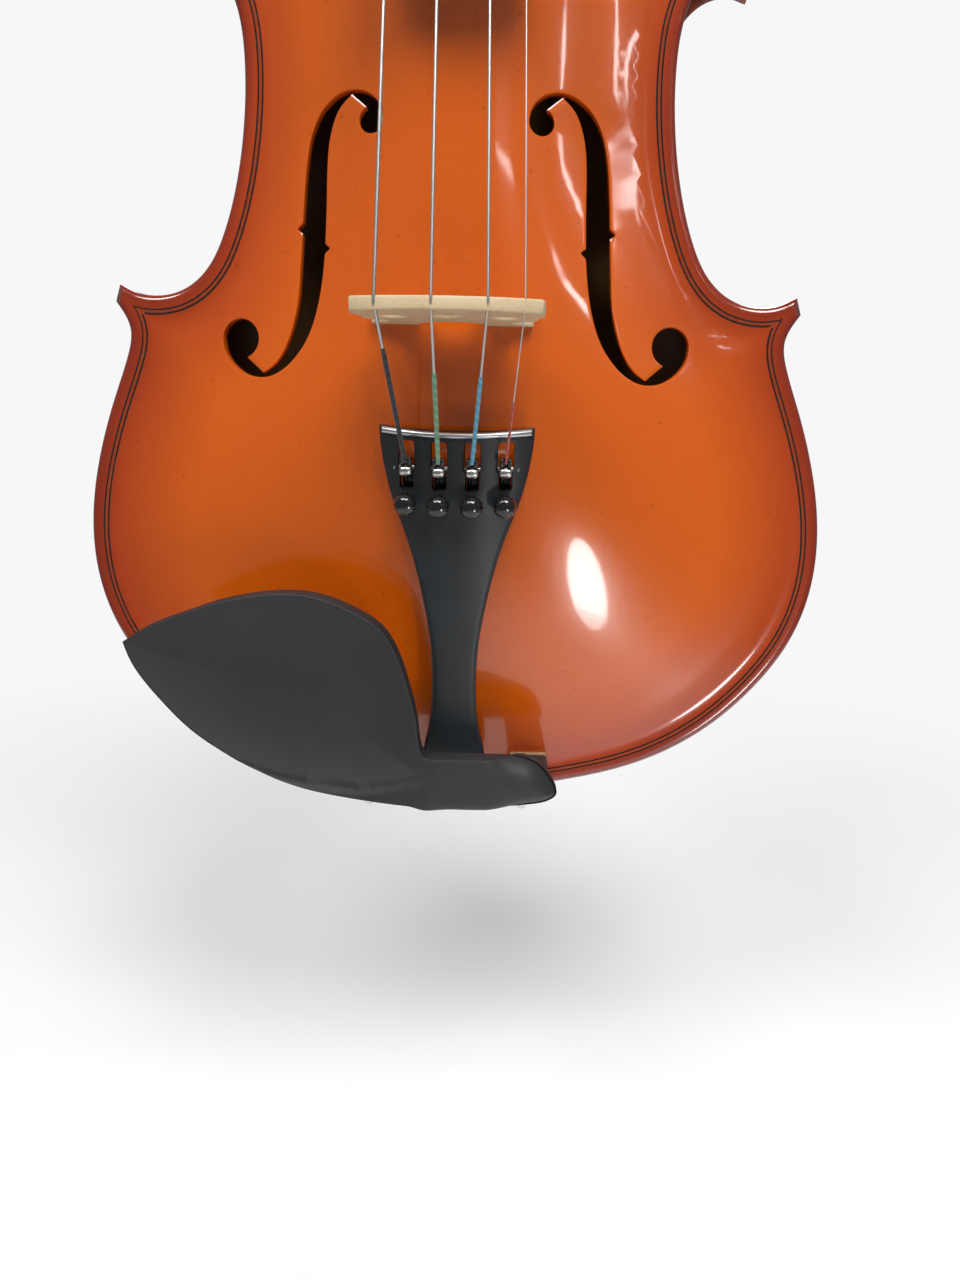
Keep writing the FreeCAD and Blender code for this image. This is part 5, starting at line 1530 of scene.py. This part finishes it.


# clamp: bent studs, turnbuckle barrels whose key hole is not cut but painted as dark rods of shade, and a shoe
# under the back's edge

clamp = {"x": (-24.0, 22.0), "z": 3.8, "stud": 1.5, "barrel": 3.2, "from": -12.0, "to": 8.0}
for tag, x in zip(("bass", "treble"), clamp["x"]):
    start = frontFace - 4.7
    bend = np.radians(np.linspace(0, 90, 12))
    turned = np.stack([np.full(12, x), start + 4 - 4 * np.cos(bend), clamp["z"] + 4 - 4 * np.sin(bend)], 1)
    line = np.concatenate([[(x, start, 14.2)], turned, [(x, -5.0, clamp["z"])]])
    stud = facingOut(tube(f"stud{tag}", evenly(line, 90), clamp["stud"], looks["chrome"], 20))
    finished(stud, "violin", "clamp_metal", "clamp_studs")
    b, f, t, hole = clamp["barrel"], clamp["from"], clamp["to"], 0.8
    profile = [(1.55, f + 0.3), (1.7, f), (b - 0.5, f), (b, f + 0.5), (b, f + 2.0), (b - 0.25, f + 2.25),
               (b, f + 2.5), (b, -4.4), (b - 0.3, -4.1), (b - 0.3, 0.1), (b, 0.4), (b, t - 2.5),
               (b - 0.25, t - 2.25), (b, t - 2.0), (b, t - 0.5), (b - 0.5, t), (1.7, t), (1.55, t - 0.3),
               (1.55, f + 0.35)]
    turn = np.linspace(0, 2 * np.pi, 56, endpoint=False)
    profile = np.asarray(profile)
    level = np.broadcast_to(profile[:, 1, None], (len(profile), len(turn)))
    grid = np.stack([x + profile[:, 0, None] * np.cos(turn), level,
                     clamp["z"] + profile[:, 0, None] * np.sin(turn)], -1)
    barrel = facingOut(gridPiece(f"barrel{tag}", grid, looks["chrome"], wrapRows=True, wrapColumns=True,
                                 sharp=30))
    finished(barrel, f"clamp_turn_{tag}", "clamp_metal", f"clamp_barrel_{tag}")
    # the key holes are painted shade: two near-black rods across each barrel, with no hole cut
    for k in (0, 90):
        c, s = math.cos(math.radians(k)), math.sin(math.radians(k))
        key = lathe(f"key{tag}{k}", [(0.05, -b - 0.06), (0.72, -b - 0.06), (0.8, -b + 0.02), (0.8, b - 0.02),
                                     (0.72, b + 0.06), (0.05, b + 0.06)],
                    lambda p, q, h: np.stack([x + h * c - q * s, p - 2.0, clamp["z"] + h * s + q * c], -1),
                    looks["dark"], 20)
        finished(facingOut(key), f"clamp_turn_{tag}", "clamp_metal")
    rodLine = np.stack([np.full(40, x), np.linspace(1.0, 22.6, 40), np.full(40, clamp["z"])], 1)
    lowRod = facingOut(tube(f"lowRod{tag}", rodLine, clamp["stud"], looks["chrome"], 20))
    finished(lowRod, "clamp_hook", "clamp_metal", "clamp_bracket")


def shoeLoop():
    x0, x1, z0, z1 = clamp["x"][0] - 4, clamp["x"][1] + 4, clamp["z"] - 3, 13 + footZ
    cx, cz, r = -1.0, 17 + footZ, 15.5
    reach = math.degrees(math.asin((z1 - cz) / r))
    bite = arc(cx, cz, r, 360 + reach, 180 - reach, 40)
    corners = [bite, evenly([bite[-1], (x0 + 2, z1)], 6), arc(x0 + 2, z1 - 2, 2, 90, 180, 6),
               arc(x0 + 2, z0 + 2, 2, 180, 270, 6), evenly([(x0 + 2, z0), (x1 - 2, z0)], 24),
               arc(x1 - 2, z0 + 2, 2, 270, 360, 6), arc(x1 - 2, z1 - 2, 2, 0, 90, 6)]
    return joinLoop(*corners)


shoe = plateBetween("shoe", shoeLoop(), 0.75, 0.3, lambda x, z, w: np.stack([x, 22.75 + w, z], -1),
                    looks["chrome"], 2.0)
facingOut(shoe)
finished(shoe, "clamp_hook", "clamp_metal", "clamp_bracket")
for k, x in enumerate(clamp["x"]):
    pad = softLoop([(21.98, 10.0), (21.98, 19.2), (19.3, 19.2), (19.1, 14.0), (19.2, 10.0)], 0.2, 0.3)
    piece = facingOut(barPiece(f"clampCork{k}", pad, x - 3.9, x + 3.9, 0.25, looks["cork"]))
    finished(piece, "clamp_hook", "cork", "clamp_cork")
print("clamp")


# what is inside, and the pins, keep their solids and take their finishes

kept = {"bare": ["upper_block", "lower_block", "corner_blocks", "linings", "bass_bar", "sound_post"],
        "steel": ["tuner_pivot_pins"]}
for look, nodes in kept.items():
    for node in nodes:
        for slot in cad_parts[node].material_slots:
            slot.material = looks[look]


# camera: 1.1 degrees to the left, 14.2 degrees down, a little rolled

shot = {"place": (13.6, -290.7, 122.9), "lens": 27.06, "yaw": -1.08, "pitch": 14.20, "roll": -1.29}


def setCamera():
    yaw, pitch, roll = (math.radians(shot[key]) for key in ("yaw", "pitch", "roll"))
    ahead = np.array([math.sin(yaw) * math.cos(pitch), math.cos(yaw) * math.cos(pitch), -math.sin(pitch)])
    right = np.array([math.cos(yaw), -math.sin(yaw), 0.0])
    down = np.cross(ahead, right)
    across = right * math.cos(roll) + down * math.sin(roll)
    below = -right * math.sin(roll) + down * math.cos(roll)
    lens = bpy.data.cameras.new("camera")
    lens.lens = shot["lens"]
    lens.sensor_width = 36
    lens.clip_start = 0.01
    camera = bpy.data.objects.new("camera", lens)
    turn = Matrix(np.stack([across, -below, -ahead], 1).tolist())
    camera.rotation_euler = turn.to_euler()
    camera.location = np.array(shot["place"]) * mm
    bpy.context.scene.collection.objects.link(camera)
    bpy.context.scene.camera = camera


setCamera()

# light: soft sources high up give the colour; small bright ones stand where the varnish mirrors them
# each lamp stands away from a point, az degrees to the right of straight ahead and el degrees up
lamps = {
    "key": {"from": (0.02, -0.03, 0.12), "az": 22, "el": 52, "away": 1.25, "size": (0.60, 0.60), "power": 12.5},
    "high": {"from": (0.0, -0.03, 0.15), "az": -38, "el": 48, "away": 1.2, "size": (0.55, 0.45), "power": 7.5},
    "back": {"from": (0.0, 0.0, 0.2), "az": 172, "el": 38, "away": 1.0, "size": (0.8, 0.5), "power": 8.0},
    "low": {"from": (0.043, -0.03, 0.058), "az": 21.5, "el": -21.5, "away": 0.40, "size": (0.046, 0.105),
            "power": 0.20},
    "row": {"from": (0.015, -0.033, 0.17), "az": 26, "el": 14.5, "away": 1.0, "size": (0.15, 0.011),
            "power": 0.055},
    "mid": {"from": (0.03, -0.03, 0.155), "az": 40.5, "el": 15.0, "away": 1.0, "size": (0.028, 0.022),
            "power": 0.030},
    "side": {"from": (0.048, -0.022, 0.17), "az": 50.5, "el": 19.5, "away": 1.0, "size": (0.013, 0.085),
             "power": 0.050},
}


def fromAngles(start, az, el, away):
    # a point seen from start at az degrees right of straight ahead and el degrees up
    turn, lift = math.radians(az), math.radians(el)
    way = Vector((math.sin(turn) * math.cos(lift), -math.cos(turn) * math.cos(lift), math.sin(lift)))
    return Vector(start) + way * away


for name, lamp in lamps.items():
    light = bpy.data.lights.new(name, "AREA")
    light.shape = "ELLIPSE"
    light.size, light.size_y = lamp["size"]
    light.energy = lamp["power"]
    piece = bpy.data.objects.new(name, light)
    place = fromAngles(lamp["from"], lamp["az"], lamp["el"], lamp["away"])
    piece.rotation_euler = (Vector(lamp["from"]) - place).to_track_quat("-Z", "Y").to_euler()
    piece.location = place
    piece.visible_camera = False
    bpy.context.scene.collection.objects.link(piece)


def setWorld():
    world = bpy.data.worlds.new("studio")
    world.use_nodes = True
    bpy.context.scene.world = world
    nodes, links = world.node_tree.nodes, world.node_tree.links
    seen = nodes["Background"]
    seen.inputs["Color"].default_value = (0.93, 0.93, 0.94, 1)
    seen.inputs["Strength"].default_value = 1.0
    around = nodes.new("ShaderNodeBackground")
    where = nodes.new("ShaderNodeTexCoord")
    split = nodes.new("ShaderNodeSeparateXYZ")
    ramp = nodes.new("ShaderNodeValToRGB")
    links.new(where.outputs["Generated"], split.inputs[0])
    scaled = nodes.new("ShaderNodeMath")
    scaled.operation = "MULTIPLY_ADD"
    scaled.inputs[1].default_value = 0.5
    scaled.inputs[2].default_value = 0.5
    links.new(split.outputs["Z"], scaled.inputs[0])
    links.new(scaled.outputs[0], ramp.inputs[0])
    ramp.color_ramp.elements[0].color = (0.30, 0.29, 0.28, 1)
    ramp.color_ramp.elements[1].color = (0.36, 0.37, 0.39, 1)
    links.new(ramp.outputs[0], around.inputs["Color"])
    around.inputs["Strength"].default_value = 0.5
    path = nodes.new("ShaderNodeLightPath")
    mix = nodes.new("ShaderNodeMixShader")
    links.new(path.outputs["Is Camera Ray"], mix.inputs[0])
    links.new(around.outputs[0], mix.inputs[1])
    links.new(seen.outputs[0], mix.inputs[2])
    links.new(mix.outputs[0], nodes["World Output"].inputs["Surface"])


setWorld()

# the floor is a disc that fades out into the background
ground = {"z": -0.12, "radius": 0.62, "solid": 0.22}
ring = np.linspace(0, 2 * np.pi, 96, endpoint=False)
floorMesh = bpy.data.meshes.new("floor")
floorMesh.from_pydata(np.stack([ground["radius"] * np.cos(ring), ground["radius"] * np.sin(ring) + 0.05,
                                np.full(96, ground["z"])], 1).tolist(), [], [list(range(96))])
floor = bpy.data.objects.new("floor", floorMesh)
bpy.context.scene.collection.objects.link(floor)


def floorLook():
    b = Bench("pale floor")
    cloud = b.noise(b.place((0.01, 0.01, 0.01)), 1.0, 2.0)
    where = b.node("ShaderNodeTexCoord", {}, {}, "Object")
    middle = (0, 0.05, ground["z"])
    away = b.node("ShaderNodeVectorMath", {"operation": "DISTANCE"}, {0: where, 1: middle}, "Value")
    fade = (1 - (away - ground["solid"]) / (ground["radius"] - 0.02 - ground["solid"])).clamp()
    soft = fade * fade * (3 - 2 * fade)
    return b.finish(b.blend(cloud, (0.80, 0.80, 0.81), (0.76, 0.76, 0.77)), 0.75 + cloud * 0.05, Alpha=soft)


floorMesh.materials.append(floorLook())

bpy.context.scene.view_settings.view_transform = "Standard"
